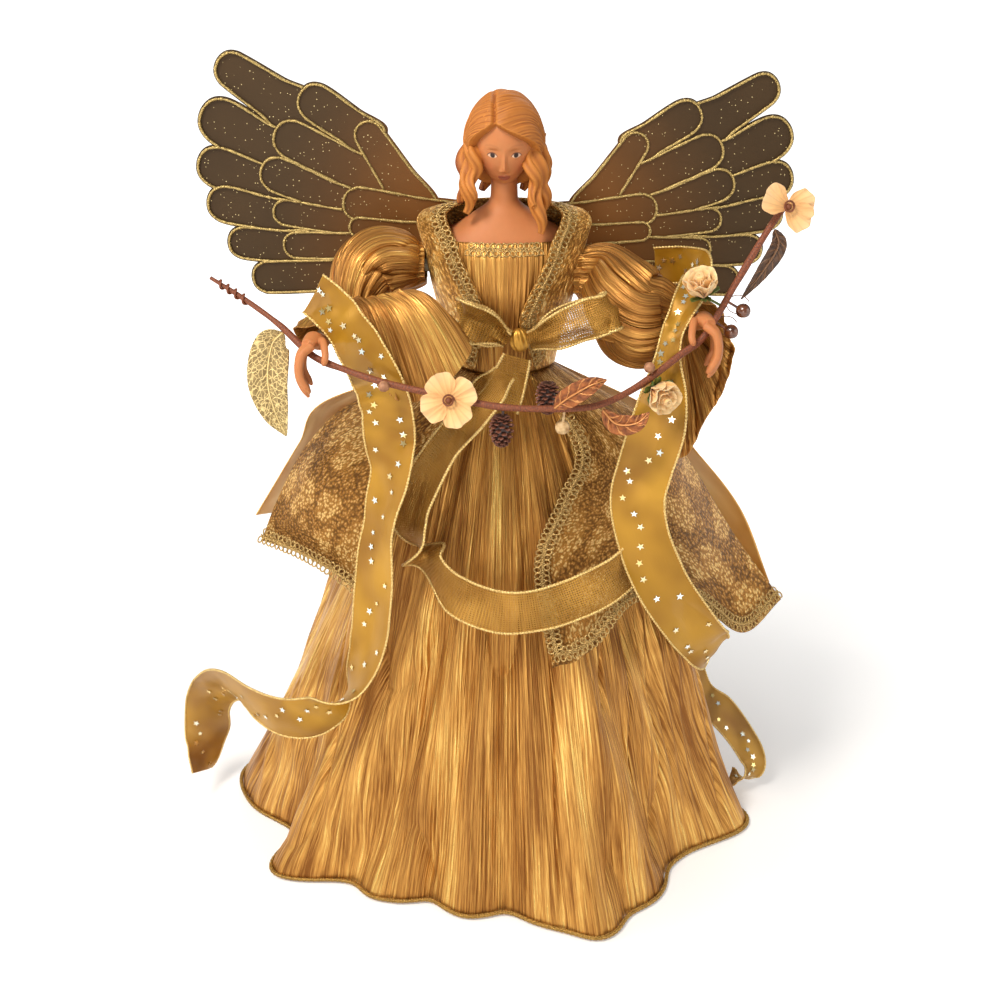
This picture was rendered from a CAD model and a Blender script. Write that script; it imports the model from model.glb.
import math

import bpy
import numpy as np
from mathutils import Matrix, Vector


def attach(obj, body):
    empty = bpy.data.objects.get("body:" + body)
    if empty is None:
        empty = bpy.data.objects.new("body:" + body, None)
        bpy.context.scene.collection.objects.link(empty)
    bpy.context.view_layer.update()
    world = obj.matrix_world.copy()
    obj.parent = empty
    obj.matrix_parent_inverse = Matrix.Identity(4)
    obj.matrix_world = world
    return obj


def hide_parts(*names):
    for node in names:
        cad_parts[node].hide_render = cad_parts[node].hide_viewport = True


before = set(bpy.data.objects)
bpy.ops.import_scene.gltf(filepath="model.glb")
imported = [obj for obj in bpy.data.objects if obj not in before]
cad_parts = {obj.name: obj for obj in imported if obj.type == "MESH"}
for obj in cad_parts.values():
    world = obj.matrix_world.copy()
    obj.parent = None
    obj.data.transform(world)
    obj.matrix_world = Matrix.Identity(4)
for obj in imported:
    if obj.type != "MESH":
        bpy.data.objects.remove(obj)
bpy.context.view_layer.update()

# Studio. A pale paper floor runs out to the horizon under a white surround, lit by one broad
# soft lamp high in front and a weak one at each side. None of it belongs to the angel.
MM = 0.001


def colour(hex_value):
    """sRGB hex as the linear colour that a shader takes."""
    shares = [int(hex_value[start:start + 2], 16) / 255 for start in (1, 3, 5)]
    linear = [s / 12.92 if s <= 0.04045 else ((s + 0.055) / 1.055) ** 2.4 for s in shares]
    return (*linear, 1)


def join(source, node, socket):
    """Puts a value, an output, or a node's first output on a node's input."""
    if isinstance(source, bpy.types.Node):
        source = source.outputs[0]
    if isinstance(source, bpy.types.NodeSocket):
        node.id_data.links.new(source, node.inputs[socket])
    else:
        node.inputs[socket].default_value = source


def add_node(tree, kind, links, **settings):
    """A node with its settings, and what is joined to each named input."""
    made = tree.nodes.new(f"ShaderNode{kind}")
    for setting, value in settings.items():
        setattr(made, setting, value)
    for socket, source in links.items():
        join(source, made, socket)
    return made


def new_finish(name, on_cloth=False, **values):
    """A named finish, its node tree, its shader with plain values on its sockets, and where
    its patterns start from: the flat map of a cloth in millimetres, or else the object."""
    finish = bpy.data.materials.new(name)
    finish.use_nodes = True
    tree = finish.node_tree
    shader = tree.nodes["Principled BSDF"]
    for socket, value in values.items():
        shader.inputs[socket.replace("_", " ")].default_value = value
    if on_cloth:
        return finish, tree, shader, add_node(tree, "UVMap", {}, uv_map="cloth_map")
    return finish, tree, shader, add_node(tree, "TexCoord", {}).outputs["Object"]


def maths(tree, operation, *values, kind="Math"):
    """A sum on values and nodes, by numbers or by vectors."""
    return add_node(tree, kind, dict(enumerate(values)), operation=operation)


def remap(tree, value, low=0, high=1, to_low=0, to_high=1, **settings):
    """A value taken from one range to another."""
    return add_node(tree, "MapRange", {"Value": value, "From Min": low, "From Max": high,
                                       "To Min": to_low, "To Max": to_high}, **settings)


def noise(tree, where, scale, detail=2, roughness=0.5, distortion=0):
    """Cloudy noise over a place."""
    return add_node(tree, "TexNoise", {"Vector": where, "Scale": scale, "Detail": detail,
                                       "Roughness": roughness, "Distortion": distortion})


def stretch(tree, where, scale):
    """A place with each of its directions scaled."""
    return add_node(tree, "Mapping", {"Vector": where, "Scale": scale})


def add_ramp(tree, mask, *stops):
    """Colours over a mask, from stops of a position and an sRGB hex, in rising order."""
    ramp = add_node(tree, "ValToRGB", {"Fac": mask})
    steps = ramp.color_ramp.elements
    steps[1].position = stops[-1][0]
    steps[0].position = stops[0][0]
    for spot, _ in stops[1:-1]:
        steps.new(spot)
    for step, (_, shade) in zip(steps, stops):
        step.color = colour(shade)
    return ramp


def tone_by(tree, shader, mask, *stops):
    """Puts a ramp's colours over a mask on a shader."""
    join(add_ramp(tree, mask, *stops), shader, "Base Color")


def add_bump(tree, shader, height, strength, distance):
    """Raises a shader's surface by a height, on top of any bump that it has."""
    bump = add_node(tree, "Bump", {"Height": height, "Strength": strength, "Distance": distance})
    for link in list(shader.inputs["Normal"].links):
        join(link.from_socket, bump, "Normal")
    join(bump, shader, "Normal")


floor_mesh = bpy.data.meshes.new("paper_floor")
floor_half = 14
floor_mesh.from_pydata(
    [(x * floor_half, y * floor_half, -0.0006) for x, y in ((-1, -1), (1, -1), (1, 1), (-1, 1))],
    [], [(0, 1, 2, 3)])
floor = bpy.data.objects.new("paper_floor", floor_mesh)
bpy.context.scene.collection.objects.link(floor)

# Matt white paper: rough, no gloss. What the camera sees of it is lifted a little towards white.
paper, tree, shader, spot = new_finish("matt_paper", Roughness=0.9, Base_Color=colour("#efeeec"),
                                       Specular_IOR_Level=0.1)
rays = add_node(tree, "LightPath", {})
seen = maths(tree, "MAXIMUM", rays.outputs["Is Camera Ray"], rays.outputs["Is Glossy Ray"])
far = maths(tree, "LENGTH", spot, kind="VectorMath")
paler = remap(tree, far.outputs["Value"], 0.16, 0.9, 0.2, 1.0)
lift = maths(tree, "MULTIPLY", seen, paler)
glow = add_node(tree, "Emission", {"Color": (1, 1, 1, 1), "Strength": lift})
both = add_node(tree, "AddShader", {0: shader, 1: glow})
join(both, tree.nodes["Material Output"], "Surface")
floor_mesh.materials.append(paper)

world = bpy.data.worlds.new("white_surround")
bpy.context.scene.world = world
world.use_nodes = True
tree = world.node_tree
rays = add_node(tree, "LightPath", {})
seen = maths(tree, "MAXIMUM", rays.outputs["Is Camera Ray"], rays.outputs["Is Transmission Ray"])
dimmed = maths(tree, "MULTIPLY", rays.outputs["Is Glossy Ray"], 0.12)
mirrored = maths(tree, "MAXIMUM", seen, dimmed)
level = remap(tree, mirrored, to_low=0.34, to_high=1.0)
background = tree.nodes["Background"]
join((1, 1, 1, 1), background, "Color")
join(level, background, "Strength")


def add_lamp(name, place, power, size, warmth):
    """Square soft lamp at a place in metres, aimed at the angel's chest."""
    data = bpy.data.lights.new(name, "AREA")
    data.energy = power
    data.size = size
    data.color = colour(warmth)[:3]
    lamp = bpy.data.objects.new(name, data)
    lamp.location = place
    aim = Vector((0, 0, 0.2)) - lamp.location
    lamp.rotation_euler = aim.to_track_quat("-Z", "Y").to_euler()
    bpy.context.scene.collection.objects.link(lamp)


add_lamp("key_lamp", (-0.5, -0.7, 1.3), 15.5, 0.36, "#fff9f2")
add_lamp("front_lamp", (-0.15, -1.3, 0.42), 3.6, 0.5, "#fff9f2")
add_lamp("left_lamp", (-1.2, -0.2, 0.7), 5.2, 0.7, "#fffaf4")
add_lamp("right_lamp", (1.2, -0.4, 0.6), 3.6, 0.7, "#fffaf4")
add_lamp("back_lamp", (0.3, 1.2, 1.1), 4, 0.8, "#ffffff")

camera_data = bpy.data.cameras.new("camera")
camera_data.lens = 46.8
camera_data.clip_start = 0.02
camera = bpy.data.objects.new("camera", camera_data)
camera.location = (-0.002, -0.630346, 0.476648)
camera.rotation_euler = (math.radians(90 - 24), 0, 0)
bpy.context.scene.collection.objects.link(camera)
bpy.context.scene.camera = camera
bpy.context.scene.view_settings.view_transform = "Standard"

# Card cone and torso form. The cone is rolled kraft card, open at the foot for the tip of the
# tree, and a padded muslin form stands on its rim. Both stay as the frame has them.
kraft, tree, shader, place = new_finish("rolled_kraft_card", Roughness=0.88)
fibre = noise(tree, place, 900, 6, 0.7)
tone_by(tree, shader, fibre, (0, "#9c8357"), (1, "#cdb78a"))
add_bump(tree, shader, fibre, 0.25, 0.0002)

# Unbleached muslin: plain weave of about two threads to the millimetre, drawn a little coarse.
muslin, tree, shader, place = new_finish("unbleached_muslin", Roughness=0.92)
warp = add_node(tree, "TexWave", {"Vector": place, "Scale": 330, "Distortion": 1.5},
                bands_direction="X")
weft = add_node(tree, "TexWave", {"Vector": place, "Scale": 330, "Distortion": 1.5},
                bands_direction="Z")
cross = maths(tree, "MULTIPLY", warp.outputs["Fac"], weft.outputs["Fac"])
tone_by(tree, shader, cross, (0, "#c3b595"), (1, "#e6dcc4"))
add_bump(tree, shader, cross, 0.4, 0.0002)

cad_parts["card_cone"].material_slots[0].material = kraft
for node_name in ("torso_form", "left_arm_wire", "right_arm_wire"):
    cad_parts[node_name].material_slots[0].material = muslin

# Bisque head. Head, neck and shoulder plate are one slip casting of unglazed porcelain, fired
# matt and painted: peach skin, soft blush, dark eyes, rose lips. The hair is moulded on it.
waist_height = 272
bodice_height = 75
chest_half_width = 34
chest_half_depth = 24
fit_gap = 0.3
cloth_thickness = 1.2
head_half_width = 14.5
head_half_depth = 17
head_half_height = 20.5
head_centre_height = 383
head_forward = 8
head_tilt = math.radians(14)
hair_thickness = 3.6
# Half width, half depth and forward lean of the body as shares of the chest's, by height share.
body_shares = [
    [-0.16, 0.68, 0.74, 0], [0, 0.65, 0.71, 0], [0.17, 0.73, 0.79, 0], [0.37, 0.85, 0.92, 0.04],
    [0.57, 0.94, 1, 0.08], [0.77, 1, 0.88, 0.04], [0.91, 0.96, 0.7, 0], [1, 0.74, 0.52, 0],
]
bust_line_share = 0.8
neckline_share = 0.87


def read_table(rows, places):
    """Values of a table at places between its rows: the first column is the place."""
    rows = np.asarray(rows, float)
    places = np.asarray(places, float)
    last = len(rows) - 1
    row = np.clip(np.searchsorted(rows[:, 0], places, side="right") - 1, 0, last - 1)
    before, here = rows[np.maximum(row - 1, 0), 1:], rows[row, 1:]
    after, beyond = rows[row + 1, 1:], rows[np.minimum(row + 2, last), 1:]
    t = np.clip((places - rows[row, 0]) / (rows[row + 1, 0] - rows[row, 0]), 0, 1)[..., None]
    rise, fall, gap = (after - before) / 2, (beyond - here) / 2, here - after
    return here + t * (rise + t * (-3 * gap - 2 * rise - fall + t * (2 * gap + rise + fall)))


def spline(places, shares, closed=False):
    """Places of the smooth curve through some places, at shares of its spans."""
    p = np.asarray(places, float)
    spans = len(p) if closed else len(p) - 1
    s = np.asarray(shares, float) * spans
    span = np.floor(s).astype(int)
    if closed:
        t = s - span
        a, b, c, d = (p[(span + step) % len(p)] for step in (-1, 0, 1, 2))
    else:
        span = np.clip(span, 0, spans - 1)
        t = s - span
        q = np.concatenate([[2 * p[0] - p[1]], p, [2 * p[-1] - p[-2]]])
        a, b, c, d = (q[span + step] for step in (0, 1, 2, 3))
    t = t.reshape(-1, *[1] * (p.ndim - 1))
    return b + t * ((c - a) / 2 + t * ((a - 2.5 * b + 2 * c - 0.5 * d) + t
                                       * ((d - a) / 2 + 1.5 * (b - c))))


def grain(u, v, cell_u, cell_v, seed, wrap=0):
    """Smooth random heights from -1 to 1, in cells of a given size. `wrap` cells close the ring."""
    heights = np.random.default_rng(seed).uniform(-1, 1, (401, 401))
    x, y = np.asarray(u, float) / cell_u, np.asarray(v, float) / cell_v
    i, j = np.floor(x).astype(int), np.floor(y).astype(int)
    f, g = x - i, y - j
    f, g = f * f * (3 - 2 * f), g * g * (3 - 2 * g)
    turn = wrap or 401
    near, far = i % turn % 401, (i + 1) % turn % 401
    low = heights[near, j % 401] * (1 - f) + heights[far, j % 401] * f
    high = heights[near, (j + 1) % 401] * (1 - f) + heights[far, (j + 1) % 401] * f
    return low * (1 - g) + high * g


def step_up(x, low, high):
    """0 below low, 1 above high, and a smooth rise between."""
    t = np.clip((np.asarray(x, float) - low) / (high - low), 0, 1)
    return t * t * (3 - 2 * t)


def ball_part(place_at, columns, rows, front_bias=0.0):
    """Closed ball whose place is a function of longitude and latitude arrays."""
    turn = np.arange(columns) / columns * 2 * math.pi
    turn = turn - front_bias * np.sin(turn)
    latitude = (np.arange(1, rows) / rows - 0.5) * math.pi
    longitudes, latitudes = np.meshgrid(turn, latitude)
    points = np.concatenate([
        place_at(np.zeros(1), np.full(1, -math.pi / 2)).reshape(-1, 3),
        place_at(longitudes, latitudes).reshape(-1, 3),
        place_at(np.zeros(1), np.full(1, math.pi / 2)).reshape(-1, 3)])
    row, column = (x.ravel() for x in np.mgrid[0:rows - 2, 0:columns])
    after = (column + 1) % columns
    body = 1 + np.stack([row * columns + column, row * columns + after,
                         (row + 1) * columns + after, (row + 1) * columns + column], 1)
    ring = np.arange(columns)
    top = len(points) - 1
    start = 1 + (rows - 2) * columns
    foot = np.stack([np.zeros(columns, int), 1 + (ring + 1) % columns, 1 + ring], 1)
    crown = np.stack([np.full(columns, top), start + ring, start + (ring + 1) % columns], 1)
    return {"points": points, "faces": body.tolist() + foot.tolist() + crown.tolist()}


def rings_part(rings, closed=False):
    """Solid through rings of places, each with the same count, with flat ends."""
    rings = np.asarray(rings, float)
    count, sides = rings.shape[:2]
    points = rings.reshape(-1, 3)
    spans = count if closed else count - 1
    ring, side = (x.ravel() for x in np.mgrid[0:spans, 0:sides])
    after, onward = (side + 1) % sides, (ring + 1) % count
    faces = np.stack([ring * sides + side, ring * sides + after,
                      onward * sides + after, onward * sides + side], 1).tolist()
    u = np.stack([side, side + 1, side + 1, side], 1) / sides
    v = np.stack([ring, ring, ring + 1, ring + 1], 1) / spans
    flat = np.stack([u, v], 2).reshape(-1, 2)
    if not closed:
        faces.append(list(range(sides))[::-1])
        faces.append(list(range((count - 1) * sides, count * sides)))
        flat = np.concatenate([flat, np.zeros((2 * sides, 2))])
    return {"points": points, "faces": faces, "map": flat}


def tube_part(path, radius, sides=8, closed=False, lobes=0, lobe_depth=0.0, twist=0.0, flat=1.0):
    """Round tube along places. Lobes that wind round it make it read as twisted strands."""
    path = np.asarray(path, float)
    count = len(path)
    if closed:
        tangent = np.roll(path, -1, axis=0) - np.roll(path, 1, axis=0)
    else:
        tangent = np.gradient(path, axis=0)
    tangent /= np.maximum(np.linalg.norm(tangent, axis=1, keepdims=True), 1e-9)
    normal = np.zeros_like(path)
    first = np.eye(3)[np.argmin(np.abs(tangent[0]))]
    current = np.cross(tangent[0], first)
    for index in range(count):
        current = current - tangent[index] * current.dot(tangent[index])
        current = current / max(np.linalg.norm(current), 1e-9)
        normal[index] = current
    side_way = np.cross(tangent, normal)
    angle = np.arange(sides) / sides * 2 * math.pi
    share = np.arange(count) / max(count - 1, 1)
    radius = np.broadcast_to(np.asarray(radius, float), (count,))
    wound = lobes * angle[None] + twist * share[:, None]
    reach = radius[:, None] * (1 + lobe_depth * np.cos(wound))
    rings = path[:, None] + normal[:, None] * (np.cos(angle)[None] * reach)[..., None]
    rings = rings + side_way[:, None] * (np.sin(angle)[None] * reach * flat)[..., None]
    return rings_part(rings, closed)


def add_piece(name, node_name, parts, finishes, body="figure", smooth=True):
    """One named piece in metres from parts in millimetres, riding on a body. It stands for a
    node of the frame where one is named."""
    parts = [parts] if isinstance(parts, dict) else parts
    finishes = finishes if isinstance(finishes, (list, tuple)) else [finishes]
    points, faces, flats, paints, kinds = [], [], [], [], []
    start = 0
    for part in parts:
        corners = sum(len(face) for face in part["faces"])
        points.append(part["points"])
        volume = 0.0
        corner = np.array([face[:3] for face in part["faces"]])
        a, b, c = (part["points"][corner[:, index]] for index in range(3))
        volume += np.einsum("ij,ij->i", a, np.cross(b, c)).sum()
        rest = [index for index, face in enumerate(part["faces"]) if len(face) == 4]
        if rest:
            quad = np.array([part["faces"][index] for index in rest])
            a, b, c = (part["points"][quad[:, index]] for index in (0, 2, 3))
            volume += np.einsum("ij,ij->i", a, np.cross(b, c)).sum()
        flip = volume < 0
        flat = np.asarray(part.get("map", np.zeros((corners, 2))), float)
        if flip:
            lengths = np.array([len(face) for face in part["faces"]])
            ends = np.cumsum(lengths)
            order = np.concatenate([np.arange(end - 1, end - length - 1, -1)
                                    for end, length in zip(ends, lengths)])
            flat = flat[order]
            faces += [[start + index for index in reversed(face)] for face in part["faces"]]
        else:
            faces += [[start + index for index in face] for face in part["faces"]]
        flats.append(flat)
        paints.append(part.get("paint", np.ones((len(part["points"]), 4))))
        kinds.append(np.full(len(part["faces"]), part.get("finish", 0)))
        start += len(part["points"])
    mesh = bpy.data.meshes.new(name)
    mesh.from_pydata((np.concatenate(points) * MM).tolist(), [], faces)
    mesh.polygons.foreach_set("material_index", np.concatenate(kinds).astype(np.int32))
    mesh.polygons.foreach_set("use_smooth", np.full(len(faces), smooth))
    layer = mesh.uv_layers.new(name="cloth_map")
    layer.data.foreach_set("uv", np.concatenate(flats).astype(np.float32).ravel())
    if any("paint" in part for part in parts):
        paint = mesh.color_attributes.new("paint", "FLOAT_COLOR", "POINT")
        paint.data.foreach_set("color", np.concatenate(paints).astype(np.float32).ravel())
    for finish in finishes:
        mesh.materials.append(finish)
    piece = bpy.data.objects.new(name, mesh)
    bpy.context.scene.collection.objects.link(piece)
    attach(piece, body)
    if node_name:
        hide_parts(node_name)
    return piece


def body_place(bearing, height_share, offset):
    """Places on the body at bearings from the front, height shares and an offset outward."""
    bearing, height_share = np.broadcast_arrays(np.asarray(bearing, float), height_share)
    width, depth, lean = np.moveaxis(read_table(body_shares, height_share), -1, 0)
    angle = np.radians(bearing)
    return np.stack([
        (width * chest_half_width + offset) * np.sin(angle),
        -(depth * chest_half_depth + offset) * np.cos(angle) - lean * chest_half_depth,
        waist_height + height_share * bodice_height], -1)


def blob(distance):
    """Round bump of height 1 that fades out by a distance of about 2."""
    return np.exp(-distance ** 2)


def on_neck(side, forward, up):
    """Places of the head, tilted down and set on the neck."""
    c, s = math.cos(head_tilt), math.sin(head_tilt)
    y, z = -forward, up
    return np.stack([side, c * y - s * z - head_forward, s * y + c * z + head_centre_height], -1)


# Nose: height share down the face, how far it stands out and its half width, as shares.
nose_shares = [
    [-0.52, 0, 0.11], [-0.44, 0.03, 0.115], [-0.38, 0.15, 0.105], [-0.32, 0.19, 0.09],
    [-0.2, 0.125, 0.07], [-0.02, 0.05, 0.065], [0.12, 0.008, 0.08], [0.2, 0, 0.1],
]
eye_side, eye_up = 0.385, -0.03

# Rises and dips of the face, alike on both sides: height, side and half width, up and half height.
face_shares = [
    [0.04, 0.13, 0.05, -0.4, 0.045], [-0.075, 0.34, 0.17, 0.03, 0.11],
    [0.05, eye_side, 0.14, eye_up, 0.075], [0.02, eye_side, 0.17, eye_up + 0.075, 0.02],
    [0.018, 0.36, 0.22, 0.15, 0.05], [0.05, 0, 0.21, -0.555, 0.04],
    [0.055, 0, 0.17, -0.645, 0.045], [-0.03, 0, 0.25, -0.6, 0.014],
    [-0.02, 0, 0.03, -0.48, 0.035], [-0.03, 0, 0.25, -0.735, 0.05],
    [0.085, 0, 0.22, -0.86, 0.1], [0.045, 0.46, 0.24, -0.36, 0.22],
]


def head_unit(longitude, latitude):
    """Sideways, forward and upward unit shares of a place on the head."""
    level = np.cos(latitude)
    return np.sin(longitude) * level, np.cos(longitude) * level, np.sin(latitude) + 0 * longitude


def head_place(longitude, latitude):
    side, front, up = head_unit(longitude, latitude)
    swell = 1 + np.where(up < 0, 0.1 * up * (1 - front), 0)
    nose, nose_half = np.moveaxis(read_table(nose_shares, up), -1, 0)
    pair = np.abs(side)
    face = nose * blob(side / nose_half)
    for height, at_side, half_width, at_up, half_height in face_shares:
        face += height * blob(np.hypot((pair - at_side) / half_width, (up - at_up) / half_height))
    swell = swell + np.where(front > 0, face * step_up(front, 0, 0.25), 0)
    jaw = np.where(up < 0, 1 + 0.28 * up, 1)
    return on_neck(head_half_width * side * jaw, head_half_depth * front * swell,
                   head_half_height * up)


skin_tone, blush_tone, lip_tone = colour("#c07a48"), colour("#bc6c44"), colour("#984836")
lid_tone, iris_tone, white_tone, brow_tone = (
    colour("#5a3322"), colour("#2a1710"), colour("#d9b79a"), colour("#a8683c"))


def painted(coats, count):
    """Vertex paint built up from coats of a colour and a mask."""
    paint = np.tile(np.array(skin_tone), (count, 1))
    for tone, mask in coats:
        paint = paint + (np.array(tone) - paint) * np.clip(mask, 0, 1).reshape(-1, 1)
    return paint


head_columns, head_rows, head_bias = 420, 300, 0.55
head = ball_part(head_place, head_columns, head_rows, head_bias)
turn = np.arange(head_columns) / head_columns * 2 * math.pi
turn = turn - head_bias * np.sin(turn)
grid_turn, grid_lat = np.meshgrid(turn, (np.arange(1, head_rows) / head_rows - 0.5) * math.pi)
side, front, up = (
    np.concatenate([[0], values.ravel(), [0]]) for values in head_unit(grid_turn, grid_lat))
pair = np.abs(side)
faces_out = step_up(front, 0.1, 0.2)
lid_arc = eye_up + 0.062 * (1 - ((pair - eye_side) / 0.16) ** 2)
floor_arc = eye_up - 0.045 * (1 - ((pair - eye_side) / 0.16) ** 2)
in_eye = faces_out * step_up(lid_arc - up, -0.008, 0.008) * step_up(up - floor_arc, -0.008, 0.008)
in_eye = in_eye * step_up(0.16 - np.abs(pair - eye_side), 0, 0.02)
iris = in_eye * step_up(0.075 - np.hypot(pair - eye_side + 0.01, (up - eye_up - 0.012) * 1.35),
                        -0.01, 0.01)
lid_line = faces_out * blob((up - lid_arc) / 0.014)
lid_line = lid_line * step_up(0.19 - np.abs(pair - eye_side), 0, 0.04)
brow_arc = 0.15 + 0.05 * (1 - ((pair - 0.4) / 0.26) ** 2)
brow = 0.55 * faces_out * blob((up - brow_arc) / 0.022) * step_up(0.26 - np.abs(pair - 0.4), 0, 0.1)
lip_half = 0.25
lip_top = -0.545 + 0.03 * (1 - (side / lip_half) ** 2) - 0.02 * blob(side / 0.03)
lip_foot = -0.6 - 0.09 * (1 - (side / lip_half) ** 2)
lips = faces_out * step_up(lip_top - up, -0.01, 0.01) * step_up(up - lip_foot, -0.01, 0.01)
lips = lips * step_up(lip_half - pair, 0, 0.04)
parted = faces_out * blob((up + 0.6) / 0.01) * step_up(lip_half - pair, -0.02, 0.04)
blush = 0.6 * faces_out * blob(np.hypot((pair - 0.5) / 0.22, (up + 0.34) / 0.2))
shade = 0.45 * faces_out * blob(np.hypot((pair - eye_side) / 0.2, (up - eye_up - 0.08) / 0.06))
head["paint"] = painted([
    (blush_tone, blush), (brow_tone, shade), (brow_tone, brow), (white_tone, in_eye),
    (iris_tone, iris), (lid_tone, lid_line), (lip_tone, 0.85 * lips), (lid_tone, 0.5 * parted),
], len(head["points"]))

# Neck and shoulder plate: height share, half width, half depth and forward share of the head's.
neck_shares = [
    [0.96, 1.5, 0.86, 0.15], [1.03, 0.98, 0.68, 0.3], [1.1, 0.52, 0.5, 0.45],
    [1.18, 0.44, 0.46, 0.6], [1.34, 0.44, 0.46, 0.8],
]
turn = np.linspace(0, 360, 160, endpoint=False)
plate_foot = bust_line_share + fit_gap / bodice_height
plate_rows = [body_place(turn, share, 0) for share in (plate_foot, neckline_share)]
for share, width, depth, forward in neck_shares:
    angle = np.radians(turn)
    plate_rows.append(np.stack([
        width * head_half_width * np.sin(angle),
        -depth * head_half_depth * np.cos(angle) - forward * head_forward,
        np.full(len(turn), waist_height + share * bodice_height)], -1))
plate = rings_part(spline(np.array(plate_rows), np.linspace(0, 1, 60)))
plate["paint"] = painted([(blush_tone, np.full(len(plate["points"]), 0.12))], len(plate["points"]))

# Bisque: unglazed porcelain, matt with a soft waxy edge, its colours fired into the surface.
bisque, tree, shader, place = new_finish("painted_bisque", Roughness=0.56, IOR=1.5,
                                         Specular_IOR_Level=0.35, Subsurface_Weight=0.12,
                                         Subsurface_Scale=0.003)
paint = add_node(tree, "Attribute", {}, attribute_name="paint")
clay = noise(tree, place, 260, 5)
mottle = remap(tree, clay, to_low=0.93, to_high=1.06)
tone = maths(tree, "MULTIPLY", paint, mottle, kind="VectorMath")
join(tone, shader, "Base Color")
fine = noise(tree, place, 2600, 3)
add_bump(tree, shader, fine, 0.12, 0.0001)

add_piece("bisque_face_and_shoulders", "bisque_head", [head, plate], bisque)

# Moulded hair: strands are combed from a parting at the viewer's left, over the head to the
# ears, in grooved locks. Lowest latitude of the hair by longitude, in degrees.
hairline_shares = [
    [-180, -75], [-110, -75], [-88, -52], [-72, -16], [-60, 6], [-46, 19], [-32, 29], [-20, 36],
    [-13, 35], [0, 31], [14, 26], [28, 20], [42, 13], [56, 3], [70, -18], [86, -52],
    [110, -75], [180, -75],
]
parting_side = -0.27


def hair_place(longitude, latitude):
    side, front, up = head_unit(longitude, latitude)
    degrees = (np.degrees(longitude) + 540) % 360 - 180
    edge = read_table(hairline_shares, degrees)[..., 0]
    on_hair = step_up(np.degrees(latitude) + 0 * longitude - edge, -2.5, 3.5)
    across = side - parting_side
    comb = np.arctan2(front, np.maximum(up, -0.35) + 0.42) + 0.32 * np.abs(across) ** 1.5
    lock = np.sin(comb * 13 + 2.2 * np.sin(side * 3))
    strands = grain(comb * 40, side * 3, 1.0, 1.3, 11)
    parting = blob(across / 0.055) * step_up(up, 0.1, 0.5) * step_up(front, -0.5, 0)
    full = 1 + 0.22 * (1 - up) * np.abs(side) + 0.1 * step_up(np.degrees(latitude) - edge, 30, 0)
    depth = hair_thickness * full + 0.42 * lock + 0.28 * strands - 2.1 * parting
    depth = depth * on_hair - 2.2 * (1 - on_hair)
    return on_neck((head_half_width + depth) * side, (head_half_depth + depth) * front,
                   (head_half_height + depth * 0.8) * up)


# Ringlets: side, bearing from the front, length and radius shares, and how far round it starts.
ringlet_shares = [
    [-1, 50, 0.72, 0.8, 0.1], [-1, 64, 0.95, 1.05, 0.4], [-1, 90, 0.86, 1, 0.7],
    [-1, 120, 0.8, 1, 0.2],
    [-1, 150, 0.76, 1, 0.5], [1, 46, 0.8, 0.8, 0.8], [1, 58, 1.2, 1.05, 0.3], [1, 72, 1.05, 1, 0.6],
    [1, 92, 0.88, 1, 0.1], [1, 122, 0.8, 1, 0.9], [1, 152, 0.76, 1, 0.4], [1, 180, 0.74, 1.05, 0.6],
]
ringlet_radius, ringlet_length = 3.4, 34
curls = []
for side, bearing, length_share, radius_share, phase in ringlet_shares:
    angle = math.radians(bearing) * side
    share = np.linspace(0, 1, 70)
    turns = (share * 1.9 + phase) * 2 * math.pi
    length = ringlet_length * length_share
    out = np.sin(angle) * ringlet_radius * share
    path = np.stack([
        (head_half_width + hair_thickness * 0.5) * np.sin(angle) + out
        + np.cos(turns) * ringlet_radius * 0.42,
        -head_forward * 0.6 - (head_half_depth + hair_thickness * 0.3) * np.cos(angle) * 0.8
        + np.sin(turns) * ringlet_radius * 0.42
        - length * 0.24 * share * max(np.cos(angle), 0) * 1.6,
        head_centre_height + 3 - (length + 3) * share], -1)
    taper = 0.62 + 0.5 * step_up(share, 0, 0.3) - 0.72 * share ** 3
    radius = ringlet_radius * radius_share * taper
    curls.append(tube_part(path, radius, 26, lobes=4, lobe_depth=0.17, twist=13))

# Painted hair: the same bisque in warm strawberry blond, darker in the grooves.
blond, tree, shader, place = new_finish("painted_moulded_hair", Roughness=0.58,
                                        Specular_IOR_Level=0.3)
dips = add_node(tree, "NewGeometry", {})
tone = add_ramp(tree, dips.outputs["Pointiness"], (0.44, "#84421a"), (0.53, "#c27a34"))
clay = noise(tree, place, 180, 4)
wash = remap(tree, clay, to_low=0.86, to_high=1.1)
mixed = maths(tree, "MULTIPLY", tone, wash, kind="VectorMath")
join(mixed, shader, "Base Color")
fine = noise(tree, place, 2200, 3)
add_bump(tree, shader, fine, 0.15, 0.0001)

hair_cap = ball_part(hair_place, 420, 260, 0.3)
add_piece("moulded_hair", "bisque_head", [hair_cap, *curls], blond)

# Bodice. Crinkled lame tissue is drawn tight over the form, gathered in fine upright pleats
# under the neckline, and glued round the shoulder plate.


def face_normals(grid, around=False):
    """Unit normals of a grid of places."""
    along = np.gradient(grid, axis=0)
    if around:
        across = np.roll(grid, -1, axis=1) - np.roll(grid, 1, axis=1)
    else:
        across = np.gradient(grid, axis=1)
    normal = np.cross(along, across)
    return normal / np.maximum(np.linalg.norm(normal, axis=2, keepdims=True), 1e-9)


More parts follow.
